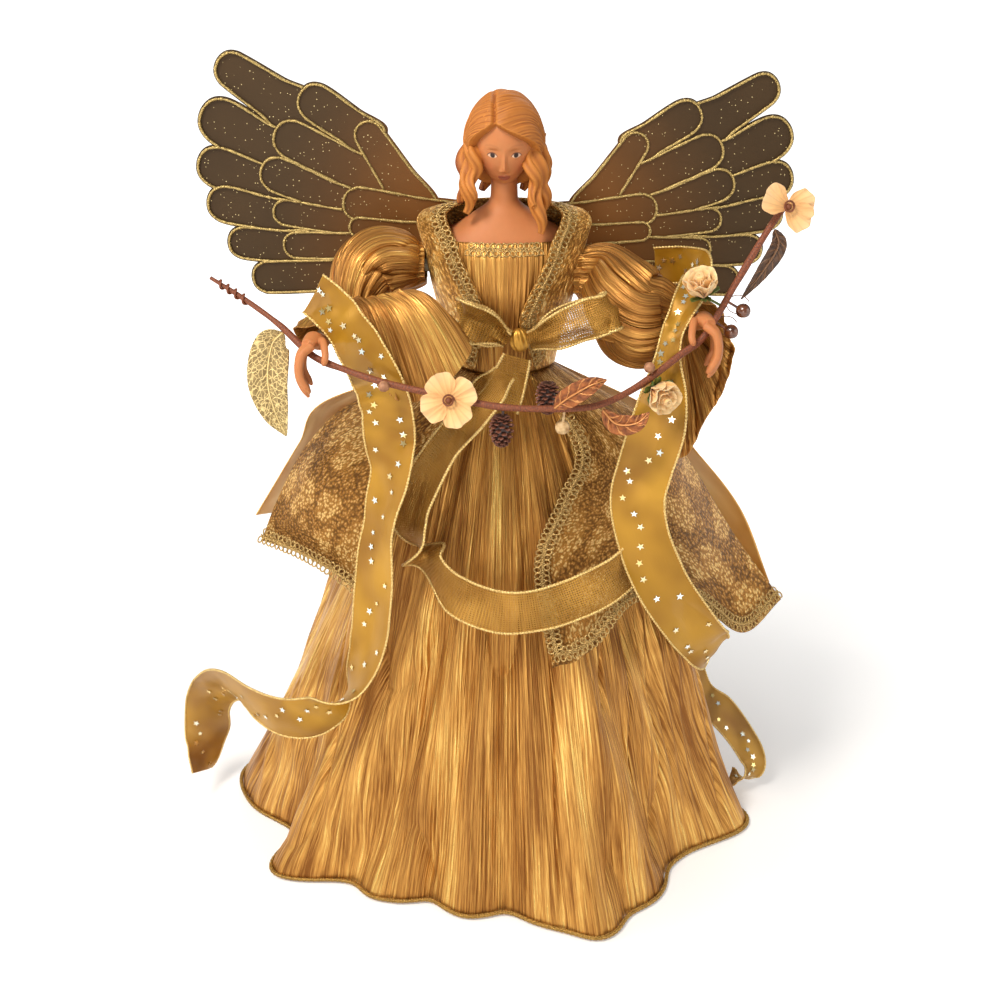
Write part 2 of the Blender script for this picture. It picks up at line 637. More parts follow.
def sheet_part(grid, thickness, size, around=False):
    """Closed thin sheet about a grid of places, with its flat size in mm as its surface map."""
    grid = np.asarray(grid, float)
    rows, columns = grid.shape[:2]
    half = face_normals(grid, around) * thickness / 2
    points = np.concatenate([(grid + half).reshape(-1, 3), (grid - half).reshape(-1, 3)])
    spans = columns if around else columns - 1
    row, column = (x.ravel() for x in np.mgrid[0:rows - 1, 0:spans])
    corner_rows = np.stack([row, row, row + 1, row + 1], 1)
    corner_columns = np.stack([column, column + 1, column + 1, column], 1)
    outer = corner_rows * columns + corner_columns % columns
    flat = np.stack([corner_columns / spans * size[0], corner_rows / (rows - 1) * size[1]], 2)
    below = rows * columns
    faces, flats = [outer, outer[:, ::-1] + below], [flat, flat[:, ::-1]]
    edge = np.arange(spans)
    for at_row in (0, rows - 1):
        a, b = at_row * columns + edge, at_row * columns + (edge + 1) % columns
        rim = np.stack([a, a + below, b + below, b], 1)
        places = np.stack([edge, edge, edge + 1, edge + 1], 1) / spans * size[0]
        rim_flat = np.stack([places, np.full(places.shape, at_row / (rows - 1) * size[1])], 2)
        faces.append(rim if at_row == 0 else rim[:, ::-1])
        flats.append(rim_flat if at_row == 0 else rim_flat[:, ::-1])
    if not around:
        edge = np.arange(rows - 1)
        for at_column in (0, columns - 1):
            a, b = edge * columns + at_column, (edge + 1) * columns + at_column
            rim = np.stack([a, b, b + below, a + below], 1)
            places = np.stack([edge, edge + 1, edge + 1, edge], 1) / (rows - 1) * size[1]
            rim_flat = np.stack([np.full(places.shape, at_column / spans * size[0]), places], 2)
            faces.append(rim if at_column == 0 else rim[:, ::-1])
            flats.append(rim_flat if at_column == 0 else rim_flat[:, ::-1])
    return {"points": points, "faces": np.concatenate(faces).tolist(),
            "map": np.concatenate(flats).reshape(-1, 2)}


def lame_finish(name, tan, gold, bright, spacing):
    """Crinkled lame tissue: flat metal yarn on a tan silk ground, set in irregular fine creases
    that run down the cloth. The yarn flashes yellow where a crease turns to the light."""
    finish, tree, shader, place = new_finish(name, True, Metallic=0.72, Roughness=0.36)
    stretched = stretch(tree, place, (1 / spacing, 1 / (spacing * 40), 1))
    crease = noise(tree, stretched, 1, 2, 0.55)
    thread_map = stretch(tree, place, (1 / 0.4, 1 / 14, 1))
    threads = noise(tree, thread_map, 1, 2, 0.7)
    patch_map = stretch(tree, place, (1 / 26, 1 / 130, 1))
    patches = noise(tree, patch_map, 1, distortion=0.3)
    coarse = maths(tree, "MULTIPLY", patches, 0.34)
    middling = maths(tree, "MULTIPLY_ADD", crease, 0.4, coarse)
    patchy = maths(tree, "MULTIPLY_ADD", threads, 0.26, middling)
    tone_by(tree, shader, patchy, (0.415, tan), (0.54, gold), (0.64, bright))
    gloss = remap(tree, patchy, 0.4, 0.62, 0.5, 0.26)
    join(gloss, shader, "Roughness")
    add_bump(tree, shader, crease, 0.9, 0.0016)
    add_bump(tree, shader, threads, 0.4, 0.0003)
    return finish


body_lame = lame_finish("crinkled_lame_tissue", "#8a5822", "#cc9448", "#ffd878", 1.3)
first_layer = fit_gap + cloth_thickness / 2
lame_thickness = 0.5

bodice_turn = np.linspace(0, 360, 700, endpoint=False)
bodice_shares = np.linspace(fit_gap / bodice_height, neckline_share, 70)
grid_turn, grid_share = np.meshgrid(bodice_turn, bodice_shares)
bodice_grid = body_place(grid_turn, grid_share, first_layer)
gathers = grain(grid_turn, grid_share * 75, 2.5, 26, 21, wrap=144)
gathers = gathers + 0.5 * grain(grid_turn, grid_share * 75, 1.25, 18, 22, wrap=288)
bodice_grid = bodice_grid - face_normals(bodice_grid, True) * (0.35 * gathers)[..., None]
bodice_size = (190, 65)
bodice = add_piece(
    "gathered_bodice", "bodice", sheet_part(bodice_grid, lame_thickness, bodice_size, True),
    body_lame)

# Gimp braid. Metal-wrapped cord is looped to both sides of a twisted pair of cords, about 7 mm
# wide. It is glued flat over the cut edges of the neckline, vest and overskirts.


def finish_gimp(name, dark, light):
    """Metal-wrapped gimp cord: gold foil wound finely on a brown core, worn dark in its dips."""
    finish, tree, shader, place = new_finish(name, Metallic=0.7, Roughness=0.42)
    wraps = noise(tree, place, 1900, 3, 0.6)
    tone_by(tree, shader, wraps, (0.34, dark), (0.66, light))
    add_bump(tree, shader, wraps, 0.6, 0.0003)
    return finish


gimp_gold = finish_gimp("metal_wrapped_gimp", "#6d4a1e", "#e2c07a")


def even_path(path, spacing):
    """Places at an even spacing along a path, and their shares of its rows."""
    path = np.asarray(path, float)
    reach = np.concatenate([[0], np.cumsum(np.linalg.norm(np.diff(path, axis=0), axis=1))])
    count = max(int(round(reach[-1] / spacing)), 2) + 1
    marks = np.linspace(0, reach[-1], count)
    return np.stack([np.interp(marks, reach, path[:, axis]) for axis in range(3)], 1), marks, reach


def gimp_part(path, across, width, pitch=2.7, cord=0.4, seed=1):
    """Two rows of loops either side of a twisted pair of cords, along a path, facing its normal."""
    path, across = np.asarray(path, float), np.asarray(across, float)
    spots, marks, reach = even_path(path, pitch / 2)
    sideways = np.stack([np.interp(marks, reach, across[:, axis]) for axis in range(3)], 1)
    tangent = np.gradient(spots, axis=0)
    tangent /= np.linalg.norm(tangent, axis=1, keepdims=True)
    sideways -= tangent * (sideways * tangent).sum(1, keepdims=True)
    sideways /= np.linalg.norm(sideways, axis=1, keepdims=True)
    normal = np.cross(tangent, sideways)
    chance = np.random.default_rng(seed)
    angle = np.arange(14) / 14 * 2 * math.pi
    around = np.arange(5) / 5 * 2 * math.pi
    points, faces = [], []
    ring, side = (x.ravel() for x in np.mgrid[0:14, 0:5])
    loop_faces = np.stack([ring * 5 + side, ring * 5 + (side + 1) % 5,
                           (ring + 1) % 14 * 5 + (side + 1) % 5, (ring + 1) % 14 * 5 + side], 1)
    for index in range(len(spots)):
        hand = 1 if index % 2 else -1
        lean = chance.uniform(-0.25, 0.25)
        reach_out, reach_on = width * 0.21 * chance.uniform(0.9, 1.1), pitch * 0.46
        x = np.cos(angle) * reach_on + np.sin(angle) * reach_out * lean
        y = hand * (width * 0.29 + np.sin(angle) * reach_out)
        lift = cord * (1 + 0.6 * np.sin(angle + index))
        centre = (spots[index] + tangent[index] * x[:, None] + sideways[index] * y[:, None]
                  + normal[index] * lift[:, None])
        radial = (tangent[index] * np.cos(angle)[:, None]
                  + sideways[index] * (hand * np.sin(angle))[:, None])
        ring_points = (centre[:, None] + radial[:, None] * (np.cos(around) * cord)[None, :, None]
                       + normal[index] * (np.sin(around) * cord)[None, :, None])
        faces.append(loop_faces + len(points) * 70)
        points.append(ring_points.reshape(-1, 3))
    loops = {"points": np.concatenate(points), "faces": np.concatenate(faces).tolist()}
    fine, marks, reach = even_path(path, 0.45)
    sideways = np.stack([np.interp(marks, reach, across[:, axis]) for axis in range(3)], 1)
    tangent = np.gradient(fine, axis=0)
    normal = np.cross(tangent, sideways)
    normal /= np.linalg.norm(normal, axis=1, keepdims=True)
    sideways /= np.linalg.norm(sideways, axis=1, keepdims=True)
    turns = marks / 2.6 * 2 * math.pi
    cords = [tube_part(fine + sideways * (np.cos(turns + shift) * 0.55)[:, None]
                       + normal * (cord * 1.9 + np.sin(turns + shift) * 0.3)[:, None], cord, 5)
             for shift in (0, math.pi)]
    return [loops, *cords]


gimp_width = 7
band_lift = first_layer + cloth_thickness / 2 + fit_gap
band_turn = np.linspace(-29, 29, 60)
band_share = neckline_share - 0.35 * gimp_width / bodice_height
neck_path = body_place(band_turn, band_share, band_lift)
neck_across = body_place(band_turn, band_share + 0.02, band_lift) - neck_path
add_piece("neckline_gimp", "neckline_braid",
          gimp_part(neck_path[::-1], neck_across[::-1], 6.4, seed=3), gimp_gold)

# Vest. Embossed metallic brocade, cut sleeveless and open in front, stiff enough to stand off
# the bodice, with gimp glued along each front edge.
vest_shares = [
    [0.03, 0.75, 0.84, 34], [0.2, 0.83, 0.92, 24], [0.38, 0.94, 1.04, 13], [0.57, 1.04, 1.13, 20],
    [0.75, 1.12, 1.03, 30], [0.88, 1.2, 0.86, 34], [0.96, 1.24, 0.72, 38], [1.02, 1.16, 0.62, 44],
    [1.05, 0.98, 0.56, 52], [1.07, 0.78, 0.5, 62], [1.08, 0.62, 0.46, 74],
]


def vest_rows(count):
    """Rows of the vest at even steps along its table."""
    return spline(np.array(vest_shares, float), np.linspace(0, 1, count))


def vest_place(rows, bearing, offset):
    """Places on the vest for rows of its table, at bearings and an offset outward."""
    height_share, width, depth = rows[..., 0], rows[..., 1], rows[..., 2]
    lean = read_table(body_shares, np.minimum(height_share, 1))[..., 2]
    angle = np.radians(bearing)
    return np.stack([
        (width * chest_half_width + offset) * np.sin(angle),
        -(depth * chest_half_depth + offset) * np.cos(angle) - lean * chest_half_depth,
        waist_height + height_share * bodice_height + 0 * angle], -1)


def brocade_finish(name, ground, thread, bright, motif):
    """Metallic brocade: the gold weft shrinks into small pebbled puckers that glitter, crowded and
    bright over each flower of the figure, and sparse over the duller ground between them."""
    finish, tree, shader, place = new_finish(name, True, Metallic=0.7, Roughness=0.38)
    bend = noise(tree, place, 1.3 / motif)
    bent = maths(tree, "MULTIPLY_ADD", bend.outputs["Color"], (motif * 0.9,) * 3, place,
                 kind="VectorMath")
    flowers = add_node(tree, "TexVoronoi", {"Vector": bent, "Scale": 1 / motif, "Smoothness": 0.5},
                       feature="SMOOTH_F1")
    turns = maths(tree, "MULTIPLY", flowers, 13)
    petals = maths(tree, "SINE", turns)
    figure = maths(tree, "MULTIPLY_ADD", petals, 0.2, flowers)
    raised = remap(tree, figure, 0.0, 0.95, 1, 0, interpolation_type="SMOOTHSTEP")
    jitter = noise(tree, place, 0.7, 3)
    shifted = maths(tree, "MULTIPLY_ADD", jitter.outputs["Color"], (1.5,) * 3, place,
                    kind="VectorMath")
    puckers = add_node(tree, "TexVoronoi", {"Vector": shifted, "Scale": 0.5, "Smoothness": 0.35},
                       feature="SMOOTH_F1")
    pebble = remap(tree, puckers, 0.1, 0.75, 1, 0, interpolation_type="SMOOTHSTEP")
    glitter = noise(tree, place, 1.6, 3, 0.7)
    standing = maths(tree, "MULTIPLY_ADD", raised, 0.26, 0.16)
    high = maths(tree, "MULTIPLY_ADD", pebble, 0.4, standing)
    height = maths(tree, "MULTIPLY_ADD", glitter, 0.42, high)
    tone_by(tree, shader, height, (0.34, ground), (0.7, thread), (0.93, bright))
    gloss = remap(tree, glitter, 0.35, 0.65, 0.5, 0.24)
    join(gloss, shader, "Roughness")
    add_bump(tree, shader, height, 1.0, 0.0022)
    return finish


vest_brocade = brocade_finish("embossed_vest_brocade", "#8a5a24", "#e0a650", "#ffdf94", 13)
brocade_thickness = 0.7
rows = vest_rows(110)
share = np.linspace(0, 1, 260)
edge = rows[:, 3:4]
vest_grid = vest_place(rows[:, None, :], edge + (360 - 2 * edge) * share[None], 0)
vest_size = (205, 92)
vest = add_piece("brocade_vest_cloth", "brocade_vest",
                 sheet_part(vest_grid, brocade_thickness, vest_size), vest_brocade)

for side, node_name in ((-1, "left_lapel_braid"), (1, "right_lapel_braid")):
    rows = vest_rows(120)[4:-6]
    across_degrees = np.degrees(gimp_width / (rows[:, 1] * chest_half_width))
    middle = vest_place(rows, side * (rows[:, 3] + 1 + across_degrees * 0.5),
                        cloth_thickness / 2 + fit_gap + 0.5)
    outer = vest_place(rows, side * (rows[:, 3] + 1 + across_degrees),
                       cloth_thickness / 2 + fit_gap + 0.5)
    path, across = (middle, outer - middle) if side < 0 else (middle[::-1], (outer - middle)[::-1])
    add_piece(f"{node_name}_loops", node_name, gimp_part(path, across, 7.2, seed=5 + side),
              gimp_gold)

# Skirt. A flared tube of the same crinkled lame, gathered at the waist and glued to the form.
# It falls to the floor in deep soft folds and stands on its hem.
hem_radius = 112
gown_fold_depth = 7
hem_shares = [
    [-180, 0.94], [-150, 1], [-125, 1.14], [-105, 1.41], [-90, 1.34], [-76, 1.16], [-65, 1.25],
    [-52, 1.07], [-38, 0.94], [-24, 0.89], [-8, 0.87], [5, 0.9], [15, 0.97], [23, 1.12],
    [34, 1.11], [45, 1.02], [52, 0.99], [60, 1.01], [70, 1.06], [83, 1.28], [95, 1.14],
    [110, 1.05], [130, 1], [155, 0.95], [180, 0.94],
]
gown_flare_share = 0.72
# Folds: bearing at the hem, height as a share of the fold depth, and half width in degrees.
fold_shares = [
    [-158, -0.7, 8], [-136, 0.5, 10], [-115, -0.6, 7], [-98, 0.5, 8], [-77, -1, 7], [-62, 0.5, 7],
    [-50, -1, 6], [-38, 0.5, 6], [-25, -0.7, 5], [-11, 0.4, 6], [2, -0.5, 5], [14, 0.5, 6],
    [34, -1, 6], [47, 0.6, 6], [60, -0.6, 6], [74, 0.4, 6], [92, -0.5, 7], [108, 0.5, 8],
    [126, -0.7, 8], [146, 0.5, 9], [168, -0.6, 8],
]
fold_drift_share = 0.85
ridge_share = 0.6


def wrap_bearing(bearing):
    return (np.asarray(bearing, float) + 540) % 360 - 180


def gown_radius(bearing, drop):
    """Radius of the gown without its folds. Drop is 0 at the waist and 1 at the floor."""
    width, depth = read_table(body_shares, 0.0)[:2]
    angle = np.radians(bearing)
    across = np.sin(angle) / (width * chest_half_width + first_layer)
    forward = np.cos(angle) / (depth * chest_half_depth + first_layer)
    waist = 1 / np.hypot(across, forward)
    share = read_table(hem_shares, wrap_bearing(bearing))[..., 0]
    return waist + (share * hem_radius - waist) * drop ** gown_flare_share


def fold_height(bearing, drop):
    height = 0 * np.asarray(bearing, float) + 0 * drop
    for hem_bearing, depth_share, width in fold_shares:
        drift = (1 - drop) * fold_drift_share * math.sin(math.radians(hem_bearing))
        apart = wrap_bearing(bearing - hem_bearing + np.degrees(drift))
        height = height + depth_share * np.exp(-(apart / width) ** 2)
    return height * gown_fold_depth * drop ** 0.6


def place_around(bearing, drop, radius):
    """Places out from the axis, by bearing, drop below the waist and radius."""
    angle = np.radians(bearing)
    return np.stack([radius * np.sin(angle), -radius * np.cos(angle),
                     waist_height * (1 - drop) + 0 * angle], -1)


def pushed_off_gown(places, lift):
    """Places moved out where they would lie inside the gown's ridges."""
    drop = 1 - places[..., 2] / waist_height
    bearing = np.degrees(np.arctan2(places[..., 0], -places[..., 1]))
    radius = np.hypot(places[..., 0], places[..., 1])
    below = np.maximum(drop, 0)
    least = (gown_radius(bearing, below) + ridge_share * gown_fold_depth * below ** 0.6
             + cloth_thickness / 2 + lift)
    return np.where((drop >= 0)[..., None], place_around(bearing, drop, np.maximum(radius, least)),
                    places)


skirt_columns, skirt_rows = 1440, 150
skirt_turn = np.arange(skirt_columns) / skirt_columns * 360
skirt_drop = np.linspace(0, 1, skirt_rows) ** 1.15
grid_turn, grid_drop = np.meshgrid(skirt_turn, skirt_drop)
# Small folds start at the gathers and fade towards the hem. They only ever cut inward.
drifted = grid_turn - np.degrees((1 - grid_drop) * 0.5 * np.sin(np.radians(grid_turn)))
pleats = np.abs(grain(drifted, grid_drop * 272, 6, 190, 31, wrap=60))
pleats = pleats * (1.7 * (1 - grid_drop) + 2.4)
valleys = 0.5 + 0.5 * grain(drifted, grid_drop * 272, 9, 230, 36, wrap=40)
pleats = (pleats + valleys * 3.5 * grid_drop ** 0.7) * np.minimum(grid_drop * 12, 1)
ripples = 0.5 + 0.5 * grain(grid_turn, grid_drop * 272, 2, 60, 32, wrap=180)
ripples = ripples + 0.35 * (1 + grain(grid_turn, grid_drop * 272, 0.9, 26, 33, wrap=400)) / 2
# Sharp creases wander down between the folds, where the cloth has been crushed flat.
crushed = grain(drifted, grid_drop * 272 + 40, 10, 120, 34, wrap=36)
fine_creases = np.abs(grain(drifted, grid_drop * 272, 3, 70, 35, wrap=120))
creases = 4 * np.exp(-np.abs(crushed) / 0.13) + 1.6 * fine_creases
below_waist = 0.25 * step_up(grid_drop, 0.02, 0.15) + 0.75 * step_up(grid_drop, 0.12, 0.55)
creases = creases * below_waist * (1 - 0.75 * step_up(grid_drop, 0.86, 0.99))
radius = gown_radius(grid_turn, grid_drop) + fold_height(grid_turn, grid_drop)
radius = (radius - pleats * (1 - 0.7 * step_up(grid_drop, 0.9, 1))
          - ripples * (0.6 + 0.7 * grid_drop) - creases)
skirt_grid = place_around(grid_turn, grid_drop, radius)
skirt_grid[-1, :, 2] = 0.05
skirt_width = 840
gown_lame = lame_finish("gathered_gown_lame", "#86531e", "#d0984a", "#ffde80", 1.5)
skirt = add_piece(
    "gown_skirt", "skirt", sheet_part(skirt_grid, lame_thickness, (skirt_width, 285), True),
    gown_lame)

# Hem braid: narrow three-strand gimp, glued round the outside of the hem.
hem_gimp = finish_gimp("narrow_hem_gimp", "#6b4a1c", "#d4aa58")
reach = np.concatenate([radius[-1]] * 3)
window = np.hanning(41) / np.hanning(41).sum()
eased = np.convolve(reach, window, "same")[skirt_columns:2 * skirt_columns]
ring = place_around(skirt_turn, 1.0, eased + 1.5)
ring[:, 2] = 1.6
path, marks, _ = even_path(np.concatenate([ring, ring[:1]]), 0.55)
outward = path[:-1] * (1, 1, 0) / np.linalg.norm(path[:-1, :2], axis=1)[:, None]
turns = marks[:-1] / marks[-1] * 2 * math.pi * round(marks[-1] / 4.2)
strands = [tube_part(path[:-1] + outward * (np.cos(turns + shift) * 0.6)[:, None]
                     + np.array([0, 0, 1]) * (np.sin(2 * (turns + shift)) * 0.75)[:, None], 0.6, 6,
                     closed=True)
           for shift in (0, 2.0944, 4.18879)]
add_piece("hem_gimp_strands", "skirt_hem_braid", strands, hem_gimp)

# Overskirts. Two brocade panels fall from the waist at each side in front, edged with gimp, and
# a satin panel goes round the back and shows past them.
left_panel_shares = [
    [[-26, 0, 0.2], [-45, 0, 0.2], [-66, 0, 0.2], [-88, 0, 0.2]],
    [[-37, 0.093, 0.41], [-53, 0.09, 0.52], [-69, 0.082, 0.61], [-86, 0.072, 0.69]],
    [[-46, 0.19, 0.62], [-59, 0.17, 0.77], [-71, 0.16, 0.87], [-83, 0.15, 0.91]],
    [[-50, 0.29, 0.75], [-60, 0.27, 0.87], [-70, 0.255, 0.98], [-79, 0.24, 1.05]],
    [[-51, 0.375, 0.82], [-59, 0.337, 0.9], [-68, 0.318, 1], [-76, 0.312, 1.14]],
]
right_panel_shares = [
    [[38, 0, 0.2], [51, 0, 0.2], [64, 0, 0.2], [76, 0, 0.2], [88, 0, 0.2], [98, 0, 0.2]],
    [[44, 0.12, 0.46], [55, 0.12, 0.54], [64, 0.12, 0.61], [74, 0.12, 0.65], [84, 0.12, 0.69],
     [93, 0.13, 0.72]],
    [[27, 0.2, 0.51], [44, 0.21, 0.62], [56, 0.21, 0.7], [68, 0.22, 0.79], [80, 0.23, 0.86],
     [91, 0.22, 0.9]],
    [[14, 0.31, 0.57], [30, 0.3, 0.66], [46, 0.29, 0.75], [63, 0.31, 0.87], [77, 0.36, 1.01],
     [89, 0.35, 1.1]],
    [[17, 0.485, 0.73], [30, 0.455, 0.77], [45, 0.375, 0.8], [63, 0.405, 0.96], [76, 0.51, 1.16],
     [86, 0.478, 1.34]],
]
satin_panel_shares = [
    [[-96, 0, 0.2], [-118, 0, 0.2], [-150, 0, 0.2], [180, 0, 0.2], [150, 0, 0.2], [122, 0, 0.2],
     [106, 0, 0.2]],
    [[-93, 0.08, 0.82], [-110, 0.09, 0.72], [-145, 0.1, 0.52], [180, 0.1, 0.46], [150, 0.1, 0.5],
     [125, 0.11, 0.62], [102, 0.12, 0.74]],
    [[-93, 0.167, 0.96], [-112, 0.18, 0.88], [-145, 0.2, 0.7], [180, 0.2, 0.62], [150, 0.2, 0.68],
     [122, 0.2, 0.8], [99, 0.21, 0.95]],
    [[-90, 0.245, 1.08], [-112, 0.28, 0.98], [-145, 0.3, 0.82], [180, 0.3, 0.74], [150, 0.31, 0.8],
     [122, 0.33, 0.96], [97, 0.33, 1.17]],
    [[-87, 0.3, 1.17], [-110, 0.36, 1.06], [-145, 0.39, 0.94], [180, 0.4, 0.86], [150, 0.41, 0.9],
     [120, 0.44, 1.08], [91, 0.465, 1.3]],
]
panel_lift = fit_gap + cloth_thickness / 2


def panel_grid(rows_of_shares, across_count, down_count):
    """Smooth grid of places through a panel's table, kept off the gown."""
    table = np.array(rows_of_shares, float)
    places = pushed_off_gown(place_around(table[..., 0], table[..., 1], table[..., 2] * hem_radius),
                             panel_lift)
    across = np.linspace(0, 1, across_count)
    lines = np.array([spline(row, across) for row in places])
    return pushed_off_gown(spline(lines, np.linspace(0, 1, down_count)), panel_lift)


def panel_gimp(grid, side, width, seed):
    """Gimp along the front and lower edges of a panel, on its outer face."""
    raised = grid + face_normals(grid) * (side * (cloth_thickness / 2 + 3 * fit_gap))
    inset_columns = max(int(grid.shape[1] * 0.035), 1)
    inset_rows = max(int(grid.shape[0] * 0.035), 1)
    front = raised[grid.shape[0] // 7:-inset_rows, inset_columns]
    low = raised[-1 - inset_rows, inset_columns:]
    path = np.concatenate([front, low[1:]])
    inner = np.concatenate([
        raised[grid.shape[0] // 7:-inset_rows, inset_columns * 2],
        raised[-1 - inset_rows * 2, inset_columns:][1:]])
    across = inner - path
    if side < 0:
        path, across = path[::-1], across[::-1]
    return gimp_part(path, across, width, seed=seed)


skirt_brocade = brocade_finish("embossed_overskirt_brocade", "#603c14", "#c0863c", "#fad488", 20)
for side, name, table, columns, flat, area in (
        (-1, "left", left_panel_shares, 150, (0.105, 0.135), 0.0095),
        (1, "right", right_panel_shares, 220, (0.17, 0.165), 0.018)):
    grid = panel_grid(table, columns, 140)
    panel = add_piece(f"{name}_overskirt_cloth", f"{name}_overskirt",
                      sheet_part(grid, brocade_thickness, (flat[0] * 1000, flat[1] * 1000)),
                      skirt_brocade)
    braid = add_piece(f"{name}_overskirt_gimp", f"{name}_overskirt_braid",
                      panel_gimp(grid, side, 7.6, 40 + side), gimp_gold)

# Satin: smooth polyester with a long float on its face, so it shines in broad soft bands.
satin, tree, shader, place = new_finish("pale_gold_satin", True, Metallic=0.5, Roughness=0.34)
bands = noise(tree, place, 0.025, 3)
tone_by(tree, shader, bands, (0.35, "#d49a48"), (0.65, "#f2cb84"))
weft_map = stretch(tree, place, (1 / 9, 1 / 0.35, 1))
weft = noise(tree, weft_map, 1)
add_bump(tree, shader, weft, 0.25, 0.0002)

grid = panel_grid(satin_panel_shares, 260, 120)
wave_across, wave_down = np.meshgrid(np.linspace(0, 1, 260), np.linspace(0, 1, 120))
rolls = (0.5 + 0.5 * grain(wave_across * 260, wave_down * 100, 17, 90, 51)) * 3.2 * wave_down
grid = grid + face_normals(grid) * (rolls * np.sin(np.pi * wave_across))[..., None]
panel = add_piece("back_satin_cloth", "back_satin_panel", sheet_part(grid, 0.5, (300, 130)), satin)

# Garland stem. Floral tape is wound over a steel wire, about 3 mm across, with a thin tendril
# twisted round its left end. The angel holds it in both hands.
garland_half_span, garland_reach, garland_height, garland_rise = 131, 84, 278, 83
stem_radius, tendril_radius = 1.6, 0.8
stem_shares = [
    [-1.04, 0.45, 0.574], [-0.924, 0.5, 0.47], [-0.79, 0.6, 0.345], [-0.674, 0.69, 0.2],
    [-0.556, 0.76, 0.139], [-0.414, 0.83, 0.088], [-0.22, 0.93, 0.052], [-0.015, 1, 0.01],
    [0.19, 1, 0], [0.327, 0.95, 0.004], [0.468, 0.857, 0.084], [0.61, 0.76, 0.224],
    [0.696, 0.714, 0.323], [0.795, 0.643, 0.583], [0.894, 0.571, 0.841], [0.96, 0.524, 0.993],
]
stem_places = np.array(stem_shares) * (garland_half_span, -garland_reach, garland_rise)
stem_places = stem_places + (0, 0, garland_height)


def stem_radius_at(share):
    return stem_radius * (0.55 + 0.45 * np.minimum(1, share * 6))


def on_stem(side_share):
    """Place on the stem at a sideways share."""
    fine = spline(stem_places, np.linspace(0, 1, 4001))
    return fine[np.argmin(np.abs(fine[:, 0] - side_share * garland_half_span))]


# Floral tape: crepe paper waxed brown, wound on the slant, so low ridges cross the stem.
taped, tree, shader, place = new_finish("wound_floral_tape", True, Roughness=0.62)
slant = stretch(tree, place, (1, 62, 1))
wound = add_node(tree, "TexWave", {"Vector": slant, "Scale": 0.32, "Distortion": 2.2, "Detail": 2},
                 bands_direction="DIAGONAL", wave_profile="SAW")
crepe = noise(tree, slant, 9, 3)
tone_by(tree, shader, crepe, (0.3, "#4c2110"), (0.7, "#96502a"))
add_bump(tree, shader, wound.outputs["Fac"], 0.5, 0.0004)

share = np.linspace(0, 1, 420)
stem_path = spline(stem_places, share)
knobs = 1 + 0.1 * grain(share * 300, 0 * share, 7, 1, 61)
add_piece("garland_stem_taped", "garland_stem",
          tube_part(stem_path, stem_radius_at(share) * knobs, 14), taped)

turns = 4
share = np.linspace(0, 1, 220)
along = 0.015 + 0.062 * share
centre = spline(stem_places, along)
tangent = spline(stem_places, along + 0.002) - spline(stem_places, along - 0.002)
tangent /= np.linalg.norm(tangent, axis=1, keepdims=True)
out = np.array([0, 1, 0]) - tangent * tangent[:, 1:2]
out /= np.linalg.norm(out, axis=1, keepdims=True)
over = np.cross(tangent, out)
angle = (share * turns * 2 * math.pi)[:, None]
radius = (stem_radius_at(along) + tendril_radius * 0.75)[:, None]
coil = centre + (np.cos(angle) * out + np.sin(angle) * over) * radius
add_piece("garland_tendril_coil", "garland_tendril", tube_part(coil, tendril_radius * 0.75, 8),
          taped)

# Hands. Bisque mitts cast with curled fingers, wired through the wrist, gripping the stem.
hand_shares = {"left": -0.674, "right": 0.696}
hand_length, finger_radius, arm_radius = 26, 1.9, 3.4
arm_height, sleeve_drop, puff_radius = 322, 46, 17
finger_shares = [
    [[-0.02, 0.1, 0.2], [0.16, 0.24, 0.05], [0.2, 0.28, -0.3], [0.04, 0.3, -0.62]],
    [[0, -0.04, 0.2], [0.19, 0.1, 0.05], [0.24, 0.12, -0.36], [0.08, 0.14, -0.74]],
    [[0, -0.18, 0.2], [0.19, -0.04, 0.03], [0.24, -0.04, -0.36], [0.08, -0.03, -0.72]],
    [[0, -0.3, 0.18], [0.16, -0.18, 0], [0.2, -0.2, -0.32], [0.06, -0.18, -0.62]],
]
thumb_shares = [[-0.1, -0.3, 0.16], [-0.2, -0.05, 0.22], [-0.26, 0.2, 0.04], [-0.22, 0.26, -0.12]]
grips, wrists = {}, {}
